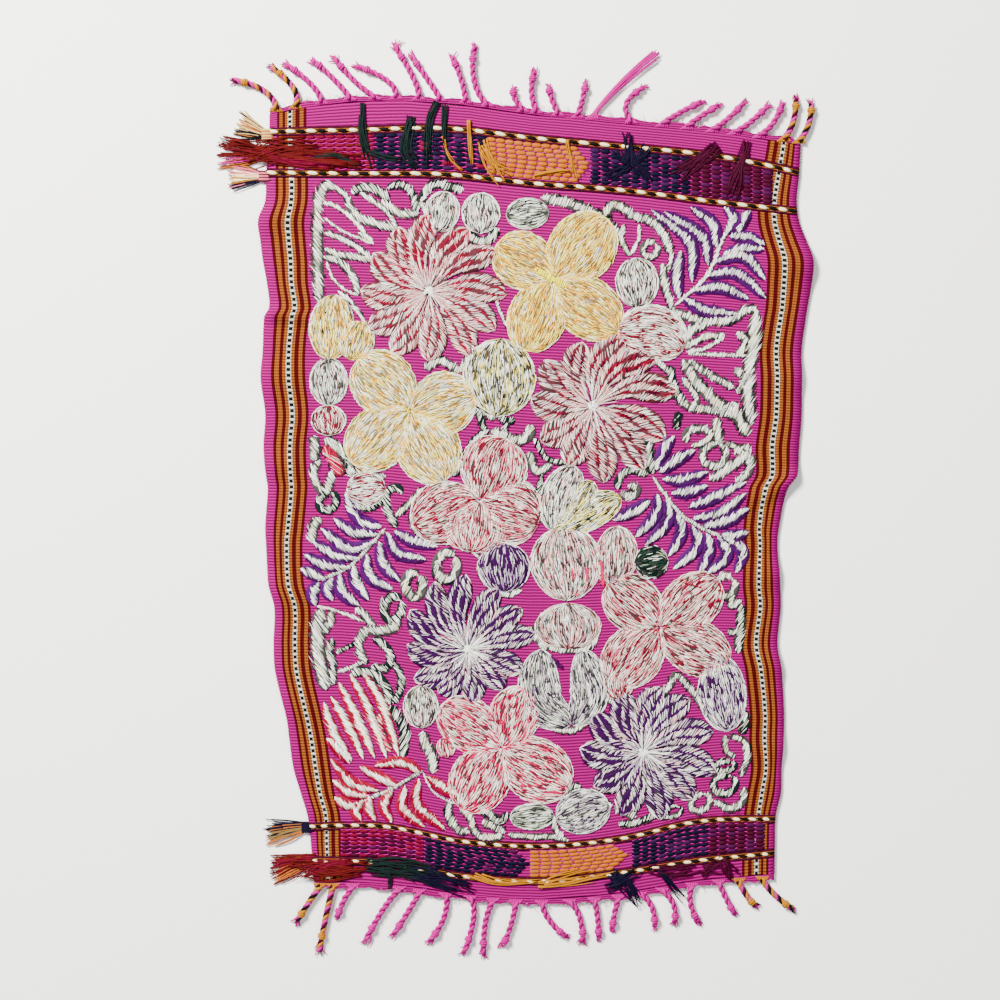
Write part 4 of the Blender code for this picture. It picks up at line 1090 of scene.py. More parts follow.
# Stems and bars of satin stitch: width in millimetres, the look, and the places they pass through
Scroll = namedtuple("Scroll", "width look route")
SCROLLS = (
    Scroll(2.4, "thin", ((674, 306), (707, 276), (722, 240), (731, 228))),
    Scroll(2.4, "thin", ((386, 528), (350, 566), (318, 581))),
    Scroll(2.4, "thin", ((652, 476), (676, 509), (694, 524), (722, 537))),
    Scroll(2.4, "thin", ((423, 770), (394, 787), (346, 808))),
    Scroll(1.4, "thin", ((423, 772), (434, 792), (457, 804))),
    Scroll(5.4, "dark", ((647, 439), (649, 456), (653, 474))),
    Scroll(6.2, "scroll", ((338, 188), (326, 187), (320, 196), (318, 222), (318, 260), (319, 304))),
    Scroll(4.8, "scroll", ((348, 197), (351, 210), (366, 221), (397, 229))),
    Scroll(3.0, "scroll", ((360, 193), (375, 203), (390, 215), (397, 229))),
    Scroll(4.8, "scroll", ((382, 200), (390, 208), (402, 214), (419, 214))),
    Scroll(4.2, "grey", ((387, 189), (398, 185), (410, 191), (418, 213))),
    Scroll(5.0, "grey", ((352, 194), (362, 188), (376, 190), (390, 200))),
    Scroll(3.0, "scroll", ((334, 188), (343, 193), (350, 201))),
    Scroll(5.0, "grey", ((421, 203), (425, 193), (434, 185), (448, 187), (464, 190))),
    Scroll(3.0, "scroll", ((419, 203), (425, 210), (429, 220))),
    Scroll(2.6, "thin", ((323, 203), (338, 208), (356, 223), (374, 245))),
    Scroll(1.6, "thin", ((324, 218), (342, 231), (358, 238), (374, 245))),
    Scroll(3.2, "scroll", ((359, 233), (366, 238), (373, 244))),
    Scroll(3.4, "scroll", ((324, 233), (342, 239), (358, 248), (372, 260))),
    Scroll(3.8, "scroll", ((325, 249), (338, 255), (354, 257), (372, 260))),
    Scroll(4.4, "scroll", ((324, 257), (340, 262), (354, 277), (358, 296))),
    Scroll(1.8, "thin", ((327, 262), (334, 280), (345, 290), (358, 296))),
    Scroll(2.6, "scroll", ((338, 291), (353, 304), (371, 333))),
    Scroll(5.4, "grey", ((467, 234), (483, 243), (499, 229))),
    Scroll(5.8, "scroll", ((541, 198), (566, 203), (590, 212), (605, 222), (621, 237))),
    Scroll(5.4, "scroll", ((604, 217), (612, 206), (625, 210), (634, 219))),
    Scroll(5.0, "scroll", ((633, 218), (648, 220), (662, 233), (671, 254))),
    Scroll(3.2, "scroll", ((624, 225), (621, 239), (629, 256))),
    Scroll(2.0, "thin", ((639, 225), (638, 241), (630, 256))),
    Scroll(4.4, "scroll", ((662, 264), (664, 282), (671, 305))),
    Scroll(2.6, "scroll", ((664, 237), (671, 256), (668, 272))),
    Scroll(2.0, "thin", ((496, 300), (502, 317), (511, 333))),
    Scroll(4.8, "scroll", ((425, 369), (440, 361), (461, 372))),
    Scroll(4.8, "scroll", ((461, 372), (468, 360), (480, 346))),
    Scroll(5.0, "scroll", ((673, 311), (700, 321), (732, 319), (748, 309), (758, 312))),
    Scroll(5.4, "scroll", ((683, 345), (691, 330), (707, 324))),
    Scroll(3.6, "scroll", ((684, 348), (703, 338), (725, 335))),
    Scroll(2.6, "thin", ((686, 352), (706, 348), (724, 337))),
    Scroll(2.6, "thin", ((688, 354), (716, 355), (748, 356))),
    Scroll(4.2, "scroll", ((688, 361), (709, 375), (734, 388))),
    Scroll(6.4, "scroll", ((682, 360), (700, 387), (718, 404), (736, 416))),
    Scroll(5.0, "dark", ((669, 366), (674, 387), (684, 406))),
    Scroll(6.8, "scroll", ((756, 311), (753, 345), (748, 375), (748, 398), (751, 425))),
    Scroll(4.4, "scroll", ((737, 332), (746, 343), (736, 356))),
    Scroll(4.4, "scroll", ((735, 368), (744, 380), (737, 394))),
    Scroll(4.4, "scroll", ((680, 402), (692, 408), (712, 410), (736, 417))),
    Scroll(3.6, "scroll", ((682, 378), (697, 401), (690, 408))),
    Scroll(6.0, "scroll", ((732, 402), (739, 420), (748, 436))),
    Scroll(3.6, "scroll", ((617, 329), (640, 346), (671, 374))),
    Scroll(3.4, "dark", ((668, 300), (675, 318), (682, 345))),
    Scroll(4.4, "knots", ((678, 412), (677, 420), (676, 430))),
    Scroll(4.6, "scroll", ((686, 443), (687, 432), (702, 429), (712, 434))),
    Scroll(3.4, "scroll", ((691, 446), (702, 443), (714, 433))),
    Scroll(5.4, "scroll", ((716, 418), (717, 431), (720, 444))),
    Scroll(5.0, "scroll", ((709, 480), (727, 469), (740, 460), (751, 449))),
    Scroll(4.8, "scroll", ((734, 449), (749, 459), (748, 473), (735, 482))),
    Scroll(3.4, "scroll", ((726, 443), (738, 448), (751, 447))),
    Scroll(5.8, "scroll", ((314, 436), (315, 448), (314, 461))),
    Scroll(4.8, "scroll", ((320, 460), (314, 473), (318, 487), (326, 492), (331, 480), (332, 470))),
    Scroll(5.8, "grey", ((325, 439), (337, 447), (349, 460), (351, 477))),
    Scroll(7.2, "berry", ((324, 446), (333, 457), (341, 476))),
    Scroll(5.4, "scroll", ((320, 517), (314, 528), (312, 543))),
    Scroll(3.4, "scroll", ((350, 470), (366, 474), (386, 477))),
    Scroll(3.2, "dark", ((352, 505), (370, 509), (384, 500))),
    Scroll(4.4, "dark", ((402, 494), (398, 487), (389, 491), (386, 501), (389, 512), (397, 528))),
    Scroll(3.6, "scroll", ((423, 488), (413, 500), (396, 516))),
    Scroll(2.8, "dark", ((418, 502), (411, 513), (414, 528), (421, 537))),
    Scroll(4.2, "dark", ((489, 430), (475, 440), (464, 459), (453, 476))),
    Scroll(4.0, "dark", ((480, 407), (480, 417), (485, 431))),
    Scroll(5.0, "scroll", ((484, 411), (490, 414), (494, 420))),
    Scroll(5.4, "scroll", ((490, 431), (505, 436), (515, 440), (529, 437), (532, 425))),
    Scroll(4.4, "knots", ((497, 413), (506, 421), (515, 420))),
    Scroll(3.4, "knots", ((506, 422), (505, 429), (505, 436))),
    Scroll(4.8, "scroll", ((529, 452), (536, 471), (552, 465))),
    Scroll(3.2, "dark", ((534, 438), (548, 459), (577, 463))),
    Scroll(3.2, "dark", ((542, 475), (538, 497), (542, 523))),
    Scroll(3.0, "scroll", ((520, 444), (526, 436), (529, 425))),
    Scroll(4.4, "grey", ((648, 474), (628, 471), (618, 480), (618, 490))),
    Scroll(4.8, "scroll", ((620, 494), (633, 496), (637, 489), (628, 485))),
    Scroll(2.0, "thin", ((461, 549), (472, 552), (481, 559))),
    Scroll(3.6, "scroll", ((478, 566), (486, 582), (503, 594), (522, 590))),
    Scroll(2.6, "thin", ((503, 560), (506, 575), (509, 590))),
    Scroll(5.4, "scroll", ((400, 618), (393, 628), (379, 631), (366, 631), (358, 643))),
    Scroll(5.0, "scroll", ((358, 640), (361, 653), (366, 664))),
    Scroll(4.2, "scroll", ((356, 608), (366, 616), (375, 627))),
    Scroll(2.0, "thin", ((317, 606), (338, 611), (363, 621))),
    Scroll(7.6, "scroll", ((321, 608), (318, 635), (320, 660), (326, 690))),
    Scroll(4.4, "scroll", ((332, 611), (330, 622), (324, 633))),
    Scroll(4.2, "dark", ((333, 638), (330, 652), (333, 664), (333, 685))),
    Scroll(2.4, "dark", ((335, 653), (350, 646), (361, 638))),
    Scroll(2.6, "thin", ((338, 672), (355, 666), (368, 659))),
    Scroll(4.6, "dark", ((373, 638), (386, 646), (391, 657), (385, 668), (371, 666))),
    Scroll(4.2, "dark", ((394, 662), (401, 676), (400, 691), (393, 703))),
    Scroll(5.4, "dark", ((350, 674), (366, 671), (379, 677), (388, 690), (390, 704))),
    Scroll(5.4, "dark", ((390, 705), (400, 720), (405, 735), (403, 757))),
    Scroll(3.6, "berry", ((379, 714), (382, 733), (391, 752))),
    Scroll(5.6, "scroll", ((423, 731), (425, 743), (432, 757), (433, 773))),
    Scroll(4.4, "scroll", ((450, 799), (449, 814), (457, 828), (470, 832))),
    Scroll(4.2, "scroll", ((460, 807), (470, 817), (474, 829), (483, 837), (504, 836))),
    Scroll(4.8, "dark", ((467, 800), (488, 813), (500, 821), (508, 812))),
    Scroll(4.8, "scroll", ((482, 821), (494, 826), (505, 832))),
    Scroll(3.4, "scroll", ((508, 834), (532, 836), (553, 836), (569, 840))),
    Scroll(3.6, "scroll", ((553, 815), (556, 828), (563, 838))),
    Scroll(4.0, "grey", ((556, 800), (566, 789), (581, 785))),
    Scroll(4.0, "dark", ((590, 793), (600, 800), (612, 806))),
    Scroll(3.6, "dark", ((618, 824), (636, 822), (657, 814))),
    Scroll(6.2, "scroll", ((614, 807), (624, 809), (635, 817))),
    Scroll(4.2, "scroll", ((714, 800), (728, 808), (742, 802), (744, 787))),
    Scroll(4.8, "dark", ((743, 710), (745, 722), (741, 734))),
    Scroll(3.6, "scroll", ((725, 735), (726, 750), (735, 757))),
    Scroll(3.8, "scroll", ((729, 735), (744, 742), (746, 760), (740, 776))),
    Scroll(4.0, "scroll", ((645, 688), (661, 693), (671, 684), (674, 674), (687, 685), (710, 718))),
    Scroll(3.0, "scroll", ((600, 696), (608, 700), (620, 703))),
    Scroll(4.6, "dark", ((741, 604), (740, 629), (738, 653))),
    Scroll(3.8, "scroll", ((733, 592), (731, 606), (741, 600))),
    Scroll(3.4, "scroll", ((727, 631), (734, 632), (740, 627))),
    Scroll(3.6, "scroll", ((547, 725), (563, 730), (580, 727), (594, 708))),
    Scroll(4.0, "scroll", ((528, 627), (538, 640), (547, 651))),
    Scroll(3.0, "scroll", ((540, 642), (558, 650), (588, 648), (598, 636))),
)
# Rings of satin stitch: half sizes in millimetres
Ring = namedtuple("Ring", "px py wide high turn width look")
RINGS = (
    Ring(650, 250, 4.6, 4.6, 0, 3.6, "scroll"),
    Ring(447, 566, 6.4, 8.0, 0, 5.4, "scroll"),
    Ring(414, 585, 5.4, 7.4, 10, 5.2, "scroll"),
    Ring(393, 608, 5.2, 7.6, -14, 4.8, "dark"),
    Ring(714, 455, 7.4, 6.6, 20, 4.4, "scroll"),
    Ring(725, 586, 6.0, 6.0, 0, 4.6, "scroll"),
    Ring(670, 811, 7.0, 3.2, 8, 2.8, "dark"),
    Ring(700, 802, 6.4, 4.8, 30, 3.6, "scroll"),
    Ring(724, 784, 7.0, 5.4, 10, 4.0, "dark"),
    Ring(724, 766, 6.6, 2.8, 8, 3.6, "dark"),
    Ring(328, 502, 6.0, 4.6, 38, 4.4, "dark"),
)


def turned(turn, distance):
    return np.array((math.cos(math.radians(turn)), math.sin(math.radians(turn)))) * distance


RAYS = 6
EYE_STITCHES = 46


def cover_shape(beds, top, shape, rng, look, fill, across=7):
    """A padded shape with its stitches and its bound edge."""
    add_bed(beds, shape, look.bed, across)
    fill(top, shape, rng, look)
    outline(top, shape, rng, look.rim)


def make_pinwheels():
    beds, top = Pile(), Pile()
    rng = np.random.default_rng(11)
    for flower in PINWHEELS:
        look = LOOKS[flower.look]
        middle = on_table((flower.px, flower.py))
        eye = on_table((flower.eye_px, flower.eye_py))
        width = 2 * math.pi * flower.radius * 0.76 / flower.petals
        for k in range(flower.petals):
            turn = flower.turn + (k + rng.uniform(-0.12, 0.12)) * 360 / flower.petals
            tip = middle + turned(turn - 6, flower.radius * rng.uniform(0.95, 1.07))
            reach = np.linalg.norm(tip - eye)
            bow = eye + turned(turn + 7, reach * 0.52)
            shape = Shape((eye + turned(turn + 12, 1.5), bow, tip), width, petal_profile(1.9, 0.6), 0.9)
            near = math.cos(math.radians(turn - flower.deep_turn)) * 0.5 + 0.5
            add_bed(beds, shape, look.bed)
            fill_columns(top, shape, rng, look, 3, 0.5 + 1.6 * flower.deep * near**2)
            add_rays(top, eye, turn + 10, reach * 0.42, rng, look)
        add_eye(top, eye, rng, "ivory", 3.4)
    beds.build("pinwheel_beds", "cloth")
    top.build("pinwheel_stitches", "cloth")


def add_rays(pile, eye, turn, reach, rng, look):
    """Long stitches that run out from a flower's eye along a petal."""
    count = RAYS
    spread = turn + rng.uniform(-15, 15, count)
    far = reach * rng.uniform(0.5, 1.1, count)
    near = rng.uniform(1.0, 3.0, count)
    steps = np.array((0.0, 0.2, 0.8, 1.0))
    away = near[:, None] + (far - near)[:, None] * steps
    bend = np.radians(spread[:, None] - 9 * away / reach)
    x, y = eye[0] + np.cos(bend) * away, eye[1] + np.sin(bend) * away
    z = sheet_top(x, y) + 1.15 * np.minimum(away / 6, 1.0)
    # Some rays take the padding's dark colour, painted as the shade lines between the rays
    pile.add_stitches(x, y, z, 0.55, 0.3, pick(rng, (*look.rim, (look.bed, 1.5)), count))


def add_eye(pile, centre, rng, yarn, size):
    """A small knot of stitches at the middle of a flower."""
    count = EYE_STITCHES
    turn, away = rng.uniform(0, 2 * math.pi, count), size * np.sqrt(rng.uniform(0, 0.6, count))
    lean = turn + rng.uniform(-0.6, 0.6, count)
    steps = np.array((-0.5, -0.25, 0.25, 0.5)) * size
    x = centre[0] + (np.cos(turn) * away)[:, None] + np.cos(lean)[:, None] * steps
    y = centre[1] + (np.sin(turn) * away)[:, None] + np.sin(lean)[:, None] * steps
    z = sheet_top(x, y) + 0.9 - 0.12 * away[:, None]
    z[:, [0, 3]] -= 0.3
    pile.add_stitches(x, y, z, SATIN_THREAD, 0.45, YARN_INDEX[yarn])


# Bright bars sewn over the middle of a flower: yarn, width in millimetres and two ends in pixels
Accent = namedtuple("Accent", "yarn width start end")
ACCENTS = (
    Accent("yellow", 7.5, (535, 269), (567, 288)),
    Accent("yellow", 3.0, (402, 407), (412, 413)),
    Accent("coral", 1.8, (571, 567), (574, 581)),
    Accent("coral", 1.8, (587, 566), (587, 582)),
    Accent("coral", 3.0, (601, 560), (603, 588)),
    Accent("crimson", 1.8, (684, 583), (702, 588)),
    Accent("crimson", 2.0, (704, 598), (718, 610)),
    Accent("crimson", 5.0, (371, 487), (376, 491)),
    Accent("crimson", 2.2, (324, 412), (327, 428)),
    Accent("violet", 3.0, (550, 655), (562, 668)),
)


def make_rosettes():
    beds, top = Pile(), Pile()
    rng = np.random.default_rng(23)
    for flower in ROSETTES:
        look = LOOKS[flower.look]
        centre = on_table((flower.px, flower.py))
        for turn, length, width in flower.petals:
            route = (centre + turned(turn, length * 0.02), centre + turned(turn, length))
            shape = Shape(route, width, petal_profile(1.08, 0.42), 1.0)
            cover_shape(beds, top, shape, rng, look, fill_rows, 9)
    for accent in ACCENTS:
        shape = Shape(on_table((accent.start, accent.end)), accent.width, bar_profile(0.15), 1.5)
        satin(top, shape, rng, Look("gold", ((accent.yarn, 1),), ((accent.yarn, 1),), 0, ()))
    beds.build("rosette_beds", "cloth")
    top.build("rosette_stitches", "cloth")


def make_lobes():
    pile = Pile()
    rng = np.random.default_rng(37)
    for lobe in LOBES:
        look = LOOKS[lobe.look]
        route = on_table((lobe.foot, lobe.middle, lobe.tip))
        shape = Shape(route, lobe.width, petal_profile(1.0, 0.45), 1.0)
        cover_shape(pile, pile, shape, rng, look, fill_rows)
    pile.build("bud_stitches", "cloth")


def make_leaves():
    pile = Pile()
    rng = np.random.default_rng(41)
    for leaves, width, name, cover in (
        (FERNS, LEAF_WIDTH, "fern", 0.64),
        (SPRAY, LEAF_WIDTH * 0.9, "spray", 0.60),
        (BLADES, BLADE_WIDTH, "blade", 0.72),
    ):
        look = LOOKS[name]
        for leaf in leaves:
            route = on_table((leaf.foot, leaf.middle, leaf.tip))
            shape = Shape(route, width, petal_profile(0.9, 0.42), 0.45)
            add_bed(pile, shape, look.bed, across=5, reach=0.9)
            under = look._replace(pale=look.deep)
            satin(pile, shape, rng, under, pitch=1.0, cover=1.05, edges=0)
            satin(pile, shape, rng, look, pitch=0.5, cover=cover, edges=0, raised=0.22, drift=0.16)
    pile.build("leaf_stitches", "cloth")


SATIN_SPREAD = 1.36


def make_scrolls():
    pile = Pile()
    rng = np.random.default_rng(53)
    routes = [(scroll.width, scroll.look, on_table(scroll.route)) for scroll in SCROLLS]
    for ring in RINGS:
        centre = on_table((ring.px, ring.py))
        turns = np.linspace(0, 2 * math.pi, 13) + 0.8
        loop = np.stack((np.cos(turns) * ring.wide, np.sin(turns) * ring.high), axis=1)
        tilt = math.radians(ring.turn)
        spin = np.array(((math.cos(tilt), math.sin(tilt)), (-math.sin(tilt), math.cos(tilt))))
        routes.append((ring.width, ring.look, centre + loop @ spin))
    for width, look, route in routes:
        shape = Shape(route, width * SATIN_SPREAD, bar_profile(0.1), 0.25)
        add_bed(pile, shape, LOOKS[look].bed, across=5, reach=0.78)
        edges = 0.15 if look == "thin" else 0.9
        satin(pile, shape, rng, LOOKS[look], edges=edges)
    pile.build("scroll_stitches", "cloth")


# The twined cords: each lies on a weft line and has its pair of thick strands at a steady pitch
Twining = namedtuple("Twining", "line pitch thick")
TWININGS = (Twining(1, 12.0, 1.3), Twining(2, 12.0, 1.3), Twining(3, 10.3, 1.05), Twining(4, 10.3, 1.05))
# One strand of a cord's face: yarn, how far it stands from the line, its half width
CordLine = namedtuple("CordLine", "yarn offset half_width")
CORD_LINES = (
    CordLine("wine", 2.0, 0.75),
    CordLine("ochre", 1.25, 0.3),
    CordLine("black", 0.0, 1.1),
    CordLine("ochre", -1.25, 0.3),
    CordLine("wine", -2.0, 0.75),
)
# The thick strands within one pair: yarn, place, half length and thickness, as shares
Bead = namedtuple("Bead", "yarn place reach thick")
BEADS = (
    Bead("gold", 0.27, 0.36, 0.72),
    Bead("cream", 0.27, 0.26, 1.0),
    Bead("black", 0.77, 0.25, 0.9),
)


def band_path(line, share, offset=0.0):
    y = weft_y(WEFT_LINES[line], share) + offset
    x = warp_x(share, y)
    return x, y


def make_twinings():
    pile = Pile()
    rng = np.random.default_rng(61)
    steps = np.linspace(0.0, 1.0, 120)
    for twining in TWININGS:
        for strand in CORD_LINES:
            x, y = band_path(twining.line, steps, strand.offset)
            z = sheet_top(x, y) - 0.1
            beads = 1 + 0.22 * np.sin(np.arange(len(steps)) * 2.1)
            path = np.stack((x, y, z), axis=1)
            pile.add_tube(path, strand.half_width * beads, YARN_INDEX[strand.yarn], sides=4, flat=0.7)
        pairs = round(CLOTH_WIDTH / twining.pitch)
        for k in range(pairs):
            slope = rng.uniform(0.5, 1.0)
            for bead in BEADS:
                reach = bead.reach * rng.uniform(0.9, 1.08) / pairs
                at = (k + bead.place) / pairs + np.linspace(-1, 1, 7) * reach
                x, y = band_path(twining.line, np.clip(at, 0, 1))
                y = y - np.linspace(-0.5, 0.5, 7) * slope
                z = sheet_top(x, y) + 0.25 + 0.15 * bead.thick
                swell = np.sqrt(1 - np.linspace(-0.97, 0.97, 7) ** 2)
                path = np.stack((x, y, z), axis=1)
                thick = twining.thick * bead.thick
                pile.add_tube(path, thick * swell, YARN_INDEX[bead.yarn], sides=5, flat=0.75)
    pile.build("band_twining", "cloth")


# Brocade: the band, where the colour starts and ends across (in pixels), how far its point runs on,
# its rows, its columns' pitch in millimetres and how much of a row its floats fill
Brocade = namedtuple("Brocade", "band first last point rows pitch fill yarns")
BROCADES = (
    Brocade("top", 296, 375, 0, 8, 6.2, 0.90, (("claret", 5), ("brick", 1))),
    Brocade("top", 375, 487, 0, 8, 6.4, 1.06, (("navy", 5), ("grape", 1.4), ("claret", 0.6))),
    Brocade("top", 487, 576, 14, 8, 5.4, 1.0, (("orange", 5), ("ochre", 2))),
    Brocade("top", 590, 690, 0, 8, 6.2, 1.14, (("navy", 5), ("grape", 3), ("plum", 1))),
    Brocade("top", 690, 772, 0, 8, 6.0, 1.2, (("wine", 5), ("plum", 1.4))),
    Brocade("low", 341, 424, 0, 7, 5.3, 0.98, (("claret", 5), ("wine", 3), ("plum", 1))),
    Brocade("low", 424, 516, 13, 7, 5.3, 1.05, (("navy", 5), ("plum", 1.6))),
    Brocade("low", 530, 612, 16, 7, 5.3, 1.02, (("orange", 6), ("ochre", 1))),
    Brocade("low", 632, 708, 0, 7, 5.3, 1.1, (("navy", 5), ("grape", 3), ("plum", 1))),
    Brocade("low", 708, 764, 0, 7, 5.3, 1.12, (("wine", 5), ("plum", 2))),
)
BAND_LINES = {"top": (1, 2), "low": (4, 3)}
BAND_INSET = 2.5
FLOAT_STEPS = np.linspace(-1.0, 1.0, 5)
TIE_THICK = 0.20
TIE_SWELL = 0.38


def band_place(part, x, depth):
    """Height y in a band, at this share of the way from the outer to the inner cord."""
    outer, inner = (WEFT_LINES[k] for k in BAND_LINES[part.band])
    middle = (weft_y(outer, 0.5) + weft_y(inner, 0.5)) / 2
    edges = warp_x(0, middle), warp_x(1, middle)
    share = (x - edges[0]) / (edges[1] - edges[0])
    start, stop = weft_y(outer, share), weft_y(inner, share)
    inset = BAND_INSET * np.sign(stop - start)
    return start + inset + (stop - start - 2 * inset) * depth


def make_brocade():
    pile = Pile()
    rng = np.random.default_rng(71)
    for part in BROCADES:
        left, right = ((px - VIEW_MIDDLE_PIXEL) * PIXEL for px in (part.first, part.last))
        columns = round((right - left) / part.pitch)
        for row in range(part.rows):
            depth = (row + 0.5) / part.rows
            far = right + part.point * PIXEL * (1 - abs(2 * depth - 1))
            wide = (far - left) / columns
            tall = abs(band_place(part, left, 1.0) - band_place(part, left, 0.0)) / part.rows
            yarns = pick(rng, part.yarns, columns)
            for column in range(columns):
                x = left + (column + 0.5 + 0.51 * rng.uniform(0.9, 1.1) * FLOAT_STEPS) * wide
                y = band_place(part, x, depth)
                radii = tall / 2 * part.fill * (1.1 - 0.6 * FLOAT_STEPS**4)
                path = np.stack((x, y, sheet_top(x, y) + 0.1), axis=1)
                pile.add_tube(path, radii, yarns[column], sides=5, flat=0.45)
            x = np.linspace(left, far, 4 * columns + 1)
            y = band_place(part, x, depth + 0.5 / part.rows)
            swell = np.abs(np.cos((x - left) / wide * math.pi)) ** 3
            y = y + 0.3 * np.sin((x - left) / wide * 2 * math.pi + row)
            path = np.stack((x, y, sheet_top(x, y) + 0.45 - 0.35 * part.fill + 0.2 * swell), axis=1)
            radii = TIE_THICK + TIE_SWELL * swell * (1.3 - part.fill)
            pile.add_tube(path, radii, YARN_INDEX["pink"], sides=4, flat=0.8)
    pile.build("band_brocade", "cloth")


# Fringe cords: root, middle and tip as in the part's source, and how each is dyed
Cord = namedtuple("Cord", "root mid_x mid_y tip_x tip_y dye")
TOP_CORDS = (
    Cord(-134, -8.5, 12, -29.5, 18, "gold"),
    Cord(-122.5, -2, 12, -18, 26, "mixed"),
    Cord(-106.5, -8, 12, -25, 24.5, "pink"),
    Cord(-89.5, -11.5, 13, -25, 24.5, "pink"),
    Cord(-74.5, -13, 10, -27, 26, "pink"),
    Cord(-62, -7, 11, -29, 20, "pink"),
    Cord(-48.5, -4, 13, -17.5, 35.5, "pink"),
    Cord(-35.5, -8, 12, -20, 29, "pink"),
    Cord(-20.5, -3, 14, -9.5, 29, "pink"),
    Cord(-7, -8.5, 14.5, -8, 39.5, "pink"),
    Cord(14, -5, 6.5, -6, 13, "pink"),
    Cord(22, -3, 12, -1, 26, "pink"),
    Cord(35, -4, 9, -6, 17, "pink"),
    Cord(46.5, 3, 10, 5, 21, "pink"),
    Cord(55, 17, 19, 38.5, 37, "loose"),
    Cord(79, -3, 11, 10, 22, "pink"),
    Cord(97, 11, 7, 26, 14.5, "pink"),
    Cord(112, 8, 6, 21.5, 14.5, "pink"),
    Cord(127, 9, 6, 21, 18, "pink"),
    Cord(140, 10, 6, 22.5, 18, "pink"),
    Cord(155, 9, 8, 15, 22, "pink"),
    Cord(170, 6, 11.5, 7, 27, "gold"),
    Cord(179, 6, 10.5, 7.5, 25, "mixed"),
)
LOW_CORDS = (
    Cord(-107.5, -6.5, -9, -16, -24, "mixed"),
    Cord(-100, -3.5, -14, -10, -46, "gold"),
    Cord(-88, -6, -9, -10, -20, "pink"),
    Cord(-60, -10, -12, -23, -35, "pink"),
    Cord(-48, -6.5, -11, -18, -29, "pink"),
    Cord(-32.5, -1.5, -14, -12, -30, "pink"),
    Cord(-18, 2, -12, -5, -37, "pink"),
    Cord(-4, -5, -14, -6, -36, "pink"),
    Cord(9.5, -3.5, -15, -9, -28, "pink"),
    Cord(25, 5, -11, 17, -22, "pink"),
    Cord(41.5, 6, -9, 8.5, -27, "pink"),
    Cord(56.5, 2, -12, 2.5, -24, "pink"),
    Cord(71, -2.5, -9.5, -4, -20, "pink"),
    Cord(84, 7, -8, 8.5, -22, "pink"),
    Cord(97, 7, -9, 7, -21, "pink"),
    Cord(115, -1, -11, 5, -24, "pink"),
    Cord(131, 4, -9, 10, -20, "pink"),
    Cord(143, 4, -8, 11, -16, "gold"),
    Cord(157, 7, -9, 21, -20, "mixed"),
)
CORD_DYES = {
    "pink": ("pink", "magenta"),
    "gold": ("gold", "wine", "pink"),
    "mixed": ("gold", "black", "pink"),
    "loose": ("pink", "pink"),
}
PLY_PITCH = 8.5
# How far along a cord its twist ends and its knot sits
PLIED_SHARE = 0.9
KNOT_SHARE = 0.78
CORD_POINTS = 24
# Threads that run from the cloth's edge into each cord, and the way between them
CORD_ROOTS = 7
ROOT_SPACING = 1.3
LOOSE_STRANDS = 9
KNOT_POINTS = 22
KNOT_TURNS = 2.4
FRAY_POINTS = 7
FRAY_STRANDS = 12
STRIP_COLUMNS = 120
STRIP_ROWS = 9
EDGE_HAIRS = 110
GAP = 0.35
CAD_STRIP = 3.0
ROOT_SHARE = 0.7


def bowed(root, middle, tip, count):
    """Points of the even curve from root to tip that passes through the middle."""
    bow = middle * 2 - (root + tip) / 2
    s = np.linspace(0, 1, count)[:, None]
    return root * (1 - s) ** 2 + bow * 2 * s * (1 - s) + tip * s * s


def plied(pile, path, radius, yarns, pitch, taper=1.0):
    """Two strands twisted round each other along a path on the table."""
    steps = np.linalg.norm(np.diff(path, axis=0), axis=1)
    length = steps.sum()
    count = max(8, round(length))
    route = smooth_route(path, count)
    heading = np.gradient(route, axis=0)
    heading /= np.linalg.norm(heading, axis=1)[:, None]
    across = np.stack((-heading[:, 1], heading[:, 0]), axis=1)
    share = np.linspace(0, 1, count)
    size = radius * (1 + (taper - 1) * share)
    for k, yarn in enumerate(yarns):
        turn = share * length / pitch * 2 * math.pi + k / len(yarns) * 2 * math.pi
        offset = 0.5 * size
        x = route[:, 0] + across[:, 0] * np.cos(turn) * offset
        y = route[:, 1] + across[:, 1] * np.cos(turn) * offset
        z = size * 1.05 + np.sin(turn) * offset
        pile.add_tube(np.stack((x, y, z), axis=1), size * 0.62, YARN_INDEX[yarn], sides=5)


def add_knot(pile, centre, heading, radius, yarns):
    """An overhand knot: a strand wound tightly round the cord, over a plump core."""
    count = KNOT_POINTS
    turn = np.linspace(0, KNOT_TURNS * 2 * math.pi, count)
    along = np.linspace(-0.62, 0.62, count) * radius
    side = np.array((-heading[1], heading[0]))
    swell = radius * 0.62 * np.sqrt(1 - np.linspace(-0.8, 0.8, count) ** 2) + radius * 0.16
    x = centre[0] + heading[0] * along + side[0] * np.cos(turn) * swell
    y = centre[1] + heading[1] * along + side[1] * np.cos(turn) * swell
    z = radius * 0.85 + np.sin(turn) * swell * 0.85
    z = np.maximum(z, radius * 0.32)
    pile.add_tube(np.stack((x, y, z), axis=1), radius * 0.36, YARN_INDEX[yarns[0]], sides=5)
    core = np.linspace(-1, 1, 7)
    path = np.array([(*(centre + heading * radius * 0.8 * s), radius * 0.8) for s in core])
    pile.add_tube(path, radius * 0.72 * np.sqrt(1 - (core * 0.93) ** 2), YARN_INDEX[yarns[1]], sides=8)


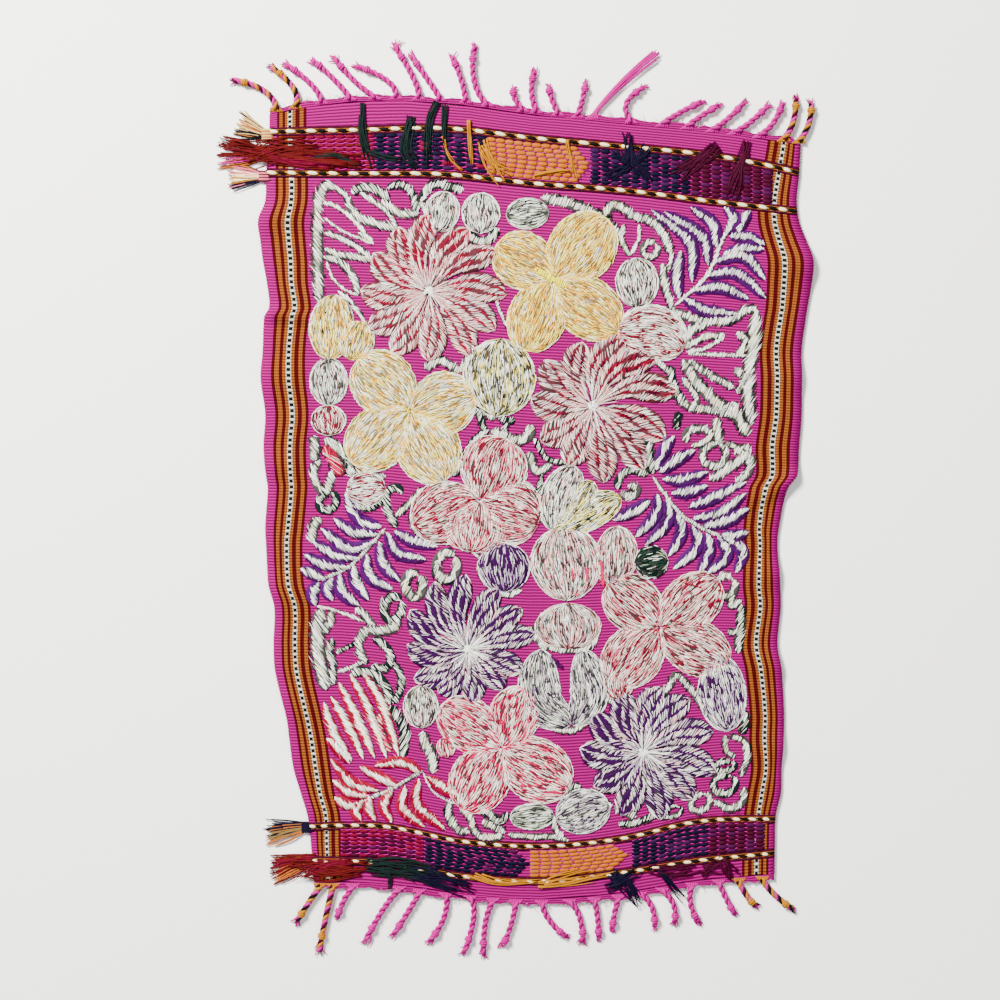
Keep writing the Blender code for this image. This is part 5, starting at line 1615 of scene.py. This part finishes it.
def add_fray(pile, rng, start, heading, reach, count, yarns, spread=24, thick=0.34, foot=1.6):
    """Loose fibres that open from the end of a cord."""
    angle = math.degrees(math.atan2(heading[1], heading[0]))
    for k in range(count):
        turn = angle + rng.normal(0, spread)
        root = start + turned(angle + 90, rng.uniform(-1, 1) * foot)
        bend = rng.normal(0, 22)
        long = reach * rng.uniform(0.5, 1.15)
        bow = root + turned(turn, long * 0.5)
        tip = bow + turned(turn + bend, long * 0.5)
        route = smooth_route((root, bow, tip), FRAY_POINTS)
        z = np.linspace(1.3, 0.4, FRAY_POINTS) + rng.uniform(0, 0.8)
        path = np.column_stack((route, z))
        radii = thick * np.linspace(1.0, 0.45, FRAY_POINTS) * rng.uniform(0.8, 1.25)
        pile.add_tube(path, radii, YARN_INDEX[yarns[k % len(yarns)]], sides=4)


def make_strip(name, line, outward, rng):
    """The strip of weave at the cloth's end, with its uneven edge."""
    columns, rows = STRIP_COLUMNS, STRIP_ROWS
    share = np.linspace(0, 1, columns)
    depth = np.linspace(0.0, STRIP_WIDTH, rows)
    edge_y = weft_y(line, share)
    ragged = rng.uniform(-0.5, 0.6, columns)
    top = []
    for k in range(rows):
        wave = STRIP_WAVE * k / rows * np.sin(share * 95 + 1.3 * np.sin(share * 31))
        y = edge_y + outward * (depth[k] + wave + ragged * (k == rows - 1))
        phase = k % ROWS_PER_RIB / ROWS_PER_RIB
        height = SHEET_THICK + RIB_HEIGHT * 1.6 * np.sin(math.pi * phase) ** 0.8
        top.append(np.stack((warp_x(share, edge_y), y, np.full(columns, height)), axis=1))
    low = [top[0].copy(), top[-1].copy()]
    for ring in low:
        ring[:, 2] = 0.02
    rings = np.stack((*top, low[1], low[0]), axis=1)
    ribs = np.array((*np.arange(rows) / ROWS_PER_RIB, rows / ROWS_PER_RIB, 0.0))
    weave = np.stack(np.broadcast_arrays(share[:, None] * CLOTH_WIDTH, ribs), axis=-1)
    if outward > 0:
        rings, weave = rings[:, ::-1], weave[:, ::-1]
    strip = Pile()
    strip.add_rings(rings, YARN_INDEX["magenta"])
    strip.build(name + "_strip", "fringe", (), WOVEN, weave.reshape(-1, 2))


def add_roots(pile, root, y, outward, gather, yarn):
    """Threads that run from the cloth's edge into a cord."""
    for k in range(CORD_ROOTS):
        foot = np.array((root + (k - CORD_ROOTS // 2) * ROOT_SPACING, y - outward * 1.6))
        strand = smooth_route((foot, (foot + gather) / 2 + (0, outward * 0.4), gather), 5)
        z = np.linspace(SHEET_THICK + 0.3, CORD_RADIUS * 1.1, 5)
        pile.add_tube(np.column_stack((strand, z)), 0.55, YARN_INDEX[yarn], sides=4)


def add_loose_lock(pile, path, rng):
    """A cord that has come undone, with its strands side by side."""
    for k in range(LOOSE_STRANDS):
        shift = rng.normal(0, 1.1, 2)
        lock = path + shift * np.linspace(0.5, 1.6, CORD_POINTS)[:, None]
        z = 0.9 + rng.uniform(0, 1.4) + 0.3 * np.sin(np.linspace(0, 6, CORD_POINTS) + k)
        pile.add_tube(np.column_stack((lock, z)), 0.42, YARN_INDEX["pink"], sides=4)


def add_knotted_cord(pile, path, yarns, rng):
    """A twisted cord with its knot and its frayed end."""
    stop = round(CORD_POINTS * PLIED_SHARE)
    plied(pile, path[:stop], CORD_RADIUS, yarns, PLY_PITCH, 0.9)
    at = round((CORD_POINTS - 1) * KNOT_SHARE)
    heading = path[at + 1] - path[at - 1]
    heading = heading / np.linalg.norm(heading)
    add_knot(pile, path[at], heading, KNOT_RADIUS, yarns)
    end_heading = path[-1] - path[-3]
    reach = np.linalg.norm(path[-1] - path[stop - 1]) + 3.0
    fray = ("pink", "magenta", "pink", yarns[1])
    add_fray(pile, rng, path[stop - 3], end_heading, reach, FRAY_STRANDS, fray, 11, 0.66, 1.1)


def add_hairs(pile, line, outward, rng):
    """Short fibres that stand out from the strip's edge."""
    for k in range(EDGE_HAIRS):
        place = rng.uniform(0.01, 0.99)
        root = np.array((float(warp_x(place, weft_y(line, place))), float(weft_y(line, place))))
        root[1] += outward * STRIP_WIDTH * 0.9
        turn = 90 * outward + rng.normal(0, 40)
        add_fray(pile, rng, root, turned(turn, 1.0), 5.0, 1, ("lilac", "pink", "magenta"), 10, 0.2)


def make_fringe(name, line, outward, cords, seed):
    """A strip of weave at the cloth's end, with its plied and knotted cords."""
    pile = Pile()
    rng = np.random.default_rng(seed)
    make_strip(name, line, outward, rng)
    ends = weft_y(line, np.array((0.0, 1.0)))
    edges = warp_x(np.array((0.0, 1.0)), ends)
    for cord in cords:
        place = (cord.root - edges[0]) / (edges[1] - edges[0])
        y = float(weft_y(line, place)) + outward * (GAP + CAD_STRIP * ROOT_SHARE)
        root = np.array((cord.root, y))
        middle, tip = root + (cord.mid_x, cord.mid_y), root + (cord.tip_x, cord.tip_y)
        yarns = CORD_DYES[cord.dye]
        path = bowed(root, middle, tip, CORD_POINTS)
        add_roots(pile, cord.root, y, outward, path[2], yarns[0])
        if cord.dye == "loose":
            add_loose_lock(pile, path, rng)
        else:
            add_knotted_cord(pile, path, yarns, rng)
    add_hairs(pile, line, outward, rng)
    pile.build(name + "_cords", "fringe", [name])


# Loose weft ends at the left edge: height of the head, which way they point, how far they fan out
# to each side, how long they are, how many locks they have, and their yarns from top to bottom
Tassel = namedtuple("Tassel", "name y turn fan reach locks yarns")
TASSELS = (
    Tassel("weft_ends_gold_top", 219, 160, 20, 20, 7, ("straw", "ochre", "straw", "navy", "black")),
    Tassel("weft_ends_red_top", 207, 178, 15, 29, 9, ("brick", "brick", "claret", "brick", "pink", "ochre")),
    Tassel("weft_ends_cream_top", 194, 178, 20, 22, 7, ("maroon", "rose", "cream", "gold", "navy")),
    Tassel("weft_ends_navy_low", -196, 190, 12, 26, 7, ("navy", "navy", "umber", "ochre")),
    Tassel("weft_ends_red_low", -216, 196, 16, 25, 9, ("brick", "claret", "brick", "brick", "ochre")),
)
LOCK_PITCH = 0.75
LOCK_STRANDS = 6
HEAD_DEPTH = 3.0
HEAD_WRAPS = 7
STRAND_POINTS = 10


def make_tassel(tassel, seed):
    """The loose ends of a band's wefts, fanned on the table from a bound head at the edge."""
    pile = Pile()
    rng = np.random.default_rng(seed)
    edge_x = min(float(warp_x(0, tassel.y + dy)) for dy in (-3, 0, 3)) - GAP
    half = tassel.locks * LOCK_PITCH / 2
    back = np.array((0, 0.3, 0.7, 1))
    for k in range(HEAD_WRAPS):
        y = np.full(len(back), tassel.y + (k / (HEAD_WRAPS - 1) - 0.5) * 2 * half)
        path = np.column_stack((edge_x + 3 - back * (HEAD_DEPTH + 4), y, 1.0 + 0.9 * np.sin(back * 2.6)))
        pile.add_tube(path, 0.95, YARN_INDEX[tassel.yarns[k % 2]], sides=5)
    strands = tassel.locks * LOCK_STRANDS
    for k in range(strands):
        share = (k + 0.5) / strands
        root = np.array((edge_x - HEAD_DEPTH * 0.6, tassel.y + half - share * 2 * half))
        turn = tassel.turn + (share - 0.5) * 2 * tassel.fan + rng.normal(0, 3)
        reach = tassel.reach * rng.uniform(0.72, 1.0)
        bow = root + turned(turn + rng.normal(0, 4), reach * 0.5)
        tip = root + turned(turn, reach)
        route = smooth_route((root, bow, tip), STRAND_POINTS)
        z = 0.6 + rng.uniform(0, 1.0) * np.sin(np.linspace(0.4, 3.0, STRAND_POINTS))
        yarn = tassel.yarns[k * len(tassel.yarns) // strands if k % 3 else k % len(tassel.yarns)]
        radii = 0.6 * np.linspace(1.0, 0.55, STRAND_POINTS) * rng.uniform(0.7, 1.2)
        pile.add_tube(np.column_stack((route, z)), radii, YARN_INDEX[yarn], sides=4)
    slot = tassel.name.split("_")[2].replace("cream", "gold") + "_thread"
    pile.build(tassel.name + "_strands", slot, [tassel.name])


# Bundles of cut thread on the bands: the node they stand for, how many strands, the bundle's width
# in millimetres and the places it passes
Bundle = namedtuple("Bundle", "node yarn strands width route")
BUNDLES = (
    Bundle("tails_red_top", "brick", 22, 10, ((360, 165), (300, 158), (232, 147))),
    Bundle("tails_red_top", "claret", 12, 6, ((330, 165), (290, 161), (262, 151))),
    Bundle("tails_red_top", "brick", 16, 12, ((318, 150), (280, 150), (246, 156))),
    Bundle("tails_green_top", "moss", 11, 3.6, ((363, 104), (363, 135), (373, 169))),
    Bundle("tails_green_top", "moss", 16, 5.6, ((412, 117), (406, 150), (420, 169))),
    Bundle("tails_green_top", "moss", 13, 4.4, ((438, 103), (429, 122), (430, 167))),
    Bundle("tails_green_top", "moss", 8, 3.0, ((445, 106), (444, 140), (449, 165))),
    Bundle("tails_green_top", "moss", 6, 2.6, ((314, 159), (336, 156), (362, 168))),
    Bundle("tails_green_top", "moss", 6, 2.6, ((367, 151), (386, 158), (410, 161))),
    Bundle("tails_gold_top", "gold", 4, 2.0, ((443, 137), (449, 158), (463, 171))),
    Bundle("tails_gold_top", "gold", 4, 1.8, ((469, 121), (470, 146), (472, 170))),
    Bundle("tails_gold_top", "gold", 16, 9, ((481, 142), (491, 163), (508, 179))),
    Bundle("tails_gold_top", "gold", 4, 2.0, ((567, 141), (571, 162), (575, 181))),
    Bundle("tails_gold_top", "gold", 4, 2.0, ((534, 177), (556, 172), (577, 171))),
    Bundle("tails_navy_top", "navy", 14, 5.4, ((631, 168), (629, 150), (629, 133))),
    Bundle("tails_navy_top", "navy", 9, 4.6, ((631, 166), (622, 160), (612, 151))),
    Bundle("tails_navy_top", "navy", 9, 4.6, ((631, 166), (640, 157), (647, 146))),
    Bundle("tails_navy_top", "navy", 9, 5.0, ((631, 166), (642, 172), (651, 183))),
    Bundle("tails_navy_top", "navy", 9, 5.4, ((631, 166), (618, 172), (603, 178))),
    Bundle("tails_wine_top", "wine", 18, 8.0, ((718, 147), (698, 161), (674, 180))),
    Bundle("tails_wine_top", "wine", 16, 7.0, ((747, 142), (740, 170), (733, 199))),
    Bundle("tails_red_low", "brick", 22, 10, ((368, 868), (330, 870), (291, 868))),
    Bundle("tails_red_low", "claret", 10, 6, ((352, 862), (326, 864), (300, 876))),
    Bundle("tails_green_low", "moss", 22, 10, ((366, 864), (399, 868), (436, 876))),
    Bundle("tails_green_low", "navy", 20, 9, ((412, 872), (441, 878), (475, 890))),
    Bundle("tails_green_low", "moss", 6, 3, ((380, 866), (390, 876), (388, 888))),
    Bundle("tails_gold_low", "gold", 6, 4, ((468, 872), (500, 882), (540, 880))),
    Bundle("tails_gold_low", "gold", 6, 4, ((530, 884), (570, 882), (616, 872))),
    Bundle("tails_gold_low", "gold", 5, 5, ((540, 886), (560, 876), (590, 872))),
    Bundle("tails_navy_low", "navy", 16, 7, ((610, 872), (626, 886), (640, 904))),
    Bundle("tails_navy_low", "navy", 10, 6, ((606, 888), (622, 880), (642, 872))),
    Bundle("tails_navy_low", "navy", 8, 3, ((658, 868), (670, 884), (685, 900))),
    Bundle("tails_wine_low", "wine", 10, 7, ((648, 868), (672, 872), (700, 866))),
    Bundle("tails_wine_low", "wine", 12, 7, ((722, 858), (727, 868), (736, 880))),
    Bundle("tails_wine_low", "wine", 8, 8, ((700, 872), (712, 866), (724, 862))),
)
TAIL_HEIGHT = 0.8
TAIL_THICK = 0.55
TAIL_POINTS = 12


def make_tails():
    rng = np.random.default_rng(89)
    for node in sorted({bundle.node for bundle in BUNDLES}):
        pile = Pile()
        for bundle in (b for b in BUNDLES if b.node == node):
            route = smooth_route(on_table(bundle.route), TAIL_POINTS)
            heading = np.gradient(route, axis=0)
            heading /= np.linalg.norm(heading, axis=1)[:, None]
            side = np.stack((-heading[:, 1], heading[:, 0]), axis=1)
            for k in range(bundle.strands):
                lane = (k + 0.5) / bundle.strands * 2 - 1
                swing = np.linspace(0, rng.uniform(2, 6), TAIL_POINTS) + rng.uniform(0, 6)
                wander = lane * 0.5 + 0.22 * np.sin(swing)
                open_out = np.linspace(0.75, 1.15, TAIL_POINTS) * bundle.width
                flat = route + side * (wander * open_out)[:, None]
                start, stop = rng.integers(0, 3), rng.integers(9, TAIL_POINTS + 1)
                flat = flat[start:stop]
                z = sheet_top(flat[:, 0], flat[:, 1]) + TAIL_HEIGHT
                z = z + rng.uniform(0, 1.0) * (1 - abs(lane)) + 0.2 * np.sin(np.arange(len(flat)) + k)
                radii = TAIL_THICK * rng.uniform(0.75, 1.2) * np.linspace(1.0, 0.6, len(flat))
                pile.add_tube(np.column_stack((flat, z)), radii, YARN_INDEX[bundle.yarn], sides=4)
        pile.build(node + "_strands", node.split("_")[1] + "_thread", [node])


# In metres: half the table's size, how far it lies under the cloth, and the camera's height
TABLE_HALF = 3.0
TABLE_DROP = 0.0004
VIEW_HEIGHT = 1.2
# The camera's sensor, in millimetres
SENSOR_WIDTH = 36.0
ROOM_BRIGHTNESS = 0.4
# Place and size in metres, power in watts
Light = namedtuple("Light", "name place size power colour")
LIGHTS = (
    Light("window", (-1.1, 1.2, 1.5), 0.6, 228.0, (1.0, 0.99, 0.95)),
    Light("room", (1.2, -0.9, 1.7), 1.8, 26.0, (0.97, 0.98, 1.0)),
)


def make_floor():
    made = Nodes("table_white")
    place = made.add("ShaderNodeTexCoord", {})["Object"]
    tone = made.mixed(made.noise(place, 3.0), (0.99, 0.985, 0.955, 1), (0.975, 0.97, 0.94, 1))
    made.set(made.shader, {"Base Color": tone, "Roughness": 0.6})
    mesh = bpy.data.meshes.new("table_top")
    corners = [(x * TABLE_HALF, y * TABLE_HALF, -TABLE_DROP) for x, y in ((-1, -1), (1, -1), (1, 1), (-1, 1))]
    mesh.from_pydata(corners, [], [(0, 1, 2, 3)])
    mesh.materials.append(made.material)
    floor = bpy.data.objects.new("table_top", mesh)
    bpy.context.scene.collection.objects.link(floor)


def add_light(source, target):
    light = bpy.data.lights.new(source.name, "AREA")
    light.size = source.size
    light.energy = source.power
    light.color = source.colour
    lamp = bpy.data.objects.new(source.name, light)
    lamp.location = source.place
    aim = target - lamp.location
    lamp.rotation_euler = aim.to_track_quat("-Z", "Y").to_euler()
    bpy.context.scene.collection.objects.link(lamp)


def make_room():
    """Even light from all sides."""
    world = bpy.data.worlds.new("room_light")
    world.use_nodes = True
    backdrop = world.node_tree.nodes["Background"]
    backdrop.inputs["Color"].default_value = (0.95, 0.97, 1.0, 1)
    backdrop.inputs["Strength"].default_value = ROOM_BRIGHTNESS
    bpy.context.scene.world = world


def make_view(middle):
    """The view from straight above, as wide as the photograph's."""
    camera = bpy.data.cameras.new("view")
    camera.sensor_width = SENSOR_WIDTH
    camera.lens = SENSOR_WIDTH * VIEW_HEIGHT / (VIEW_WIDTH * MM)
    viewer = bpy.data.objects.new("view", camera)
    viewer.location = (middle.x, middle.y, VIEW_HEIGHT)
    bpy.context.scene.collection.objects.link(viewer)
    bpy.context.scene.camera = viewer


def make_stage():
    make_floor()
    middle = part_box("cloth")[0] * 0
    middle.x, middle.y = ORIGIN[0] * MM, ORIGIN[1] * MM
    for source in LIGHTS:
        add_light(source, middle)
    make_room()
    make_view(middle)


make_ground()
make_pinwheels()
make_rosettes()
make_lobes()
make_leaves()
make_scrolls()
make_twinings()
make_brocade()
make_fringe("fringe_top", WEFT_LINES[0], 1, TOP_CORDS, 5)
make_fringe("fringe_low", WEFT_LINES[-1], -1, LOW_CORDS, 6)
for number, tassel in enumerate(TASSELS):
    make_tassel(tassel, 100 + number)
make_tails()
make_stage()
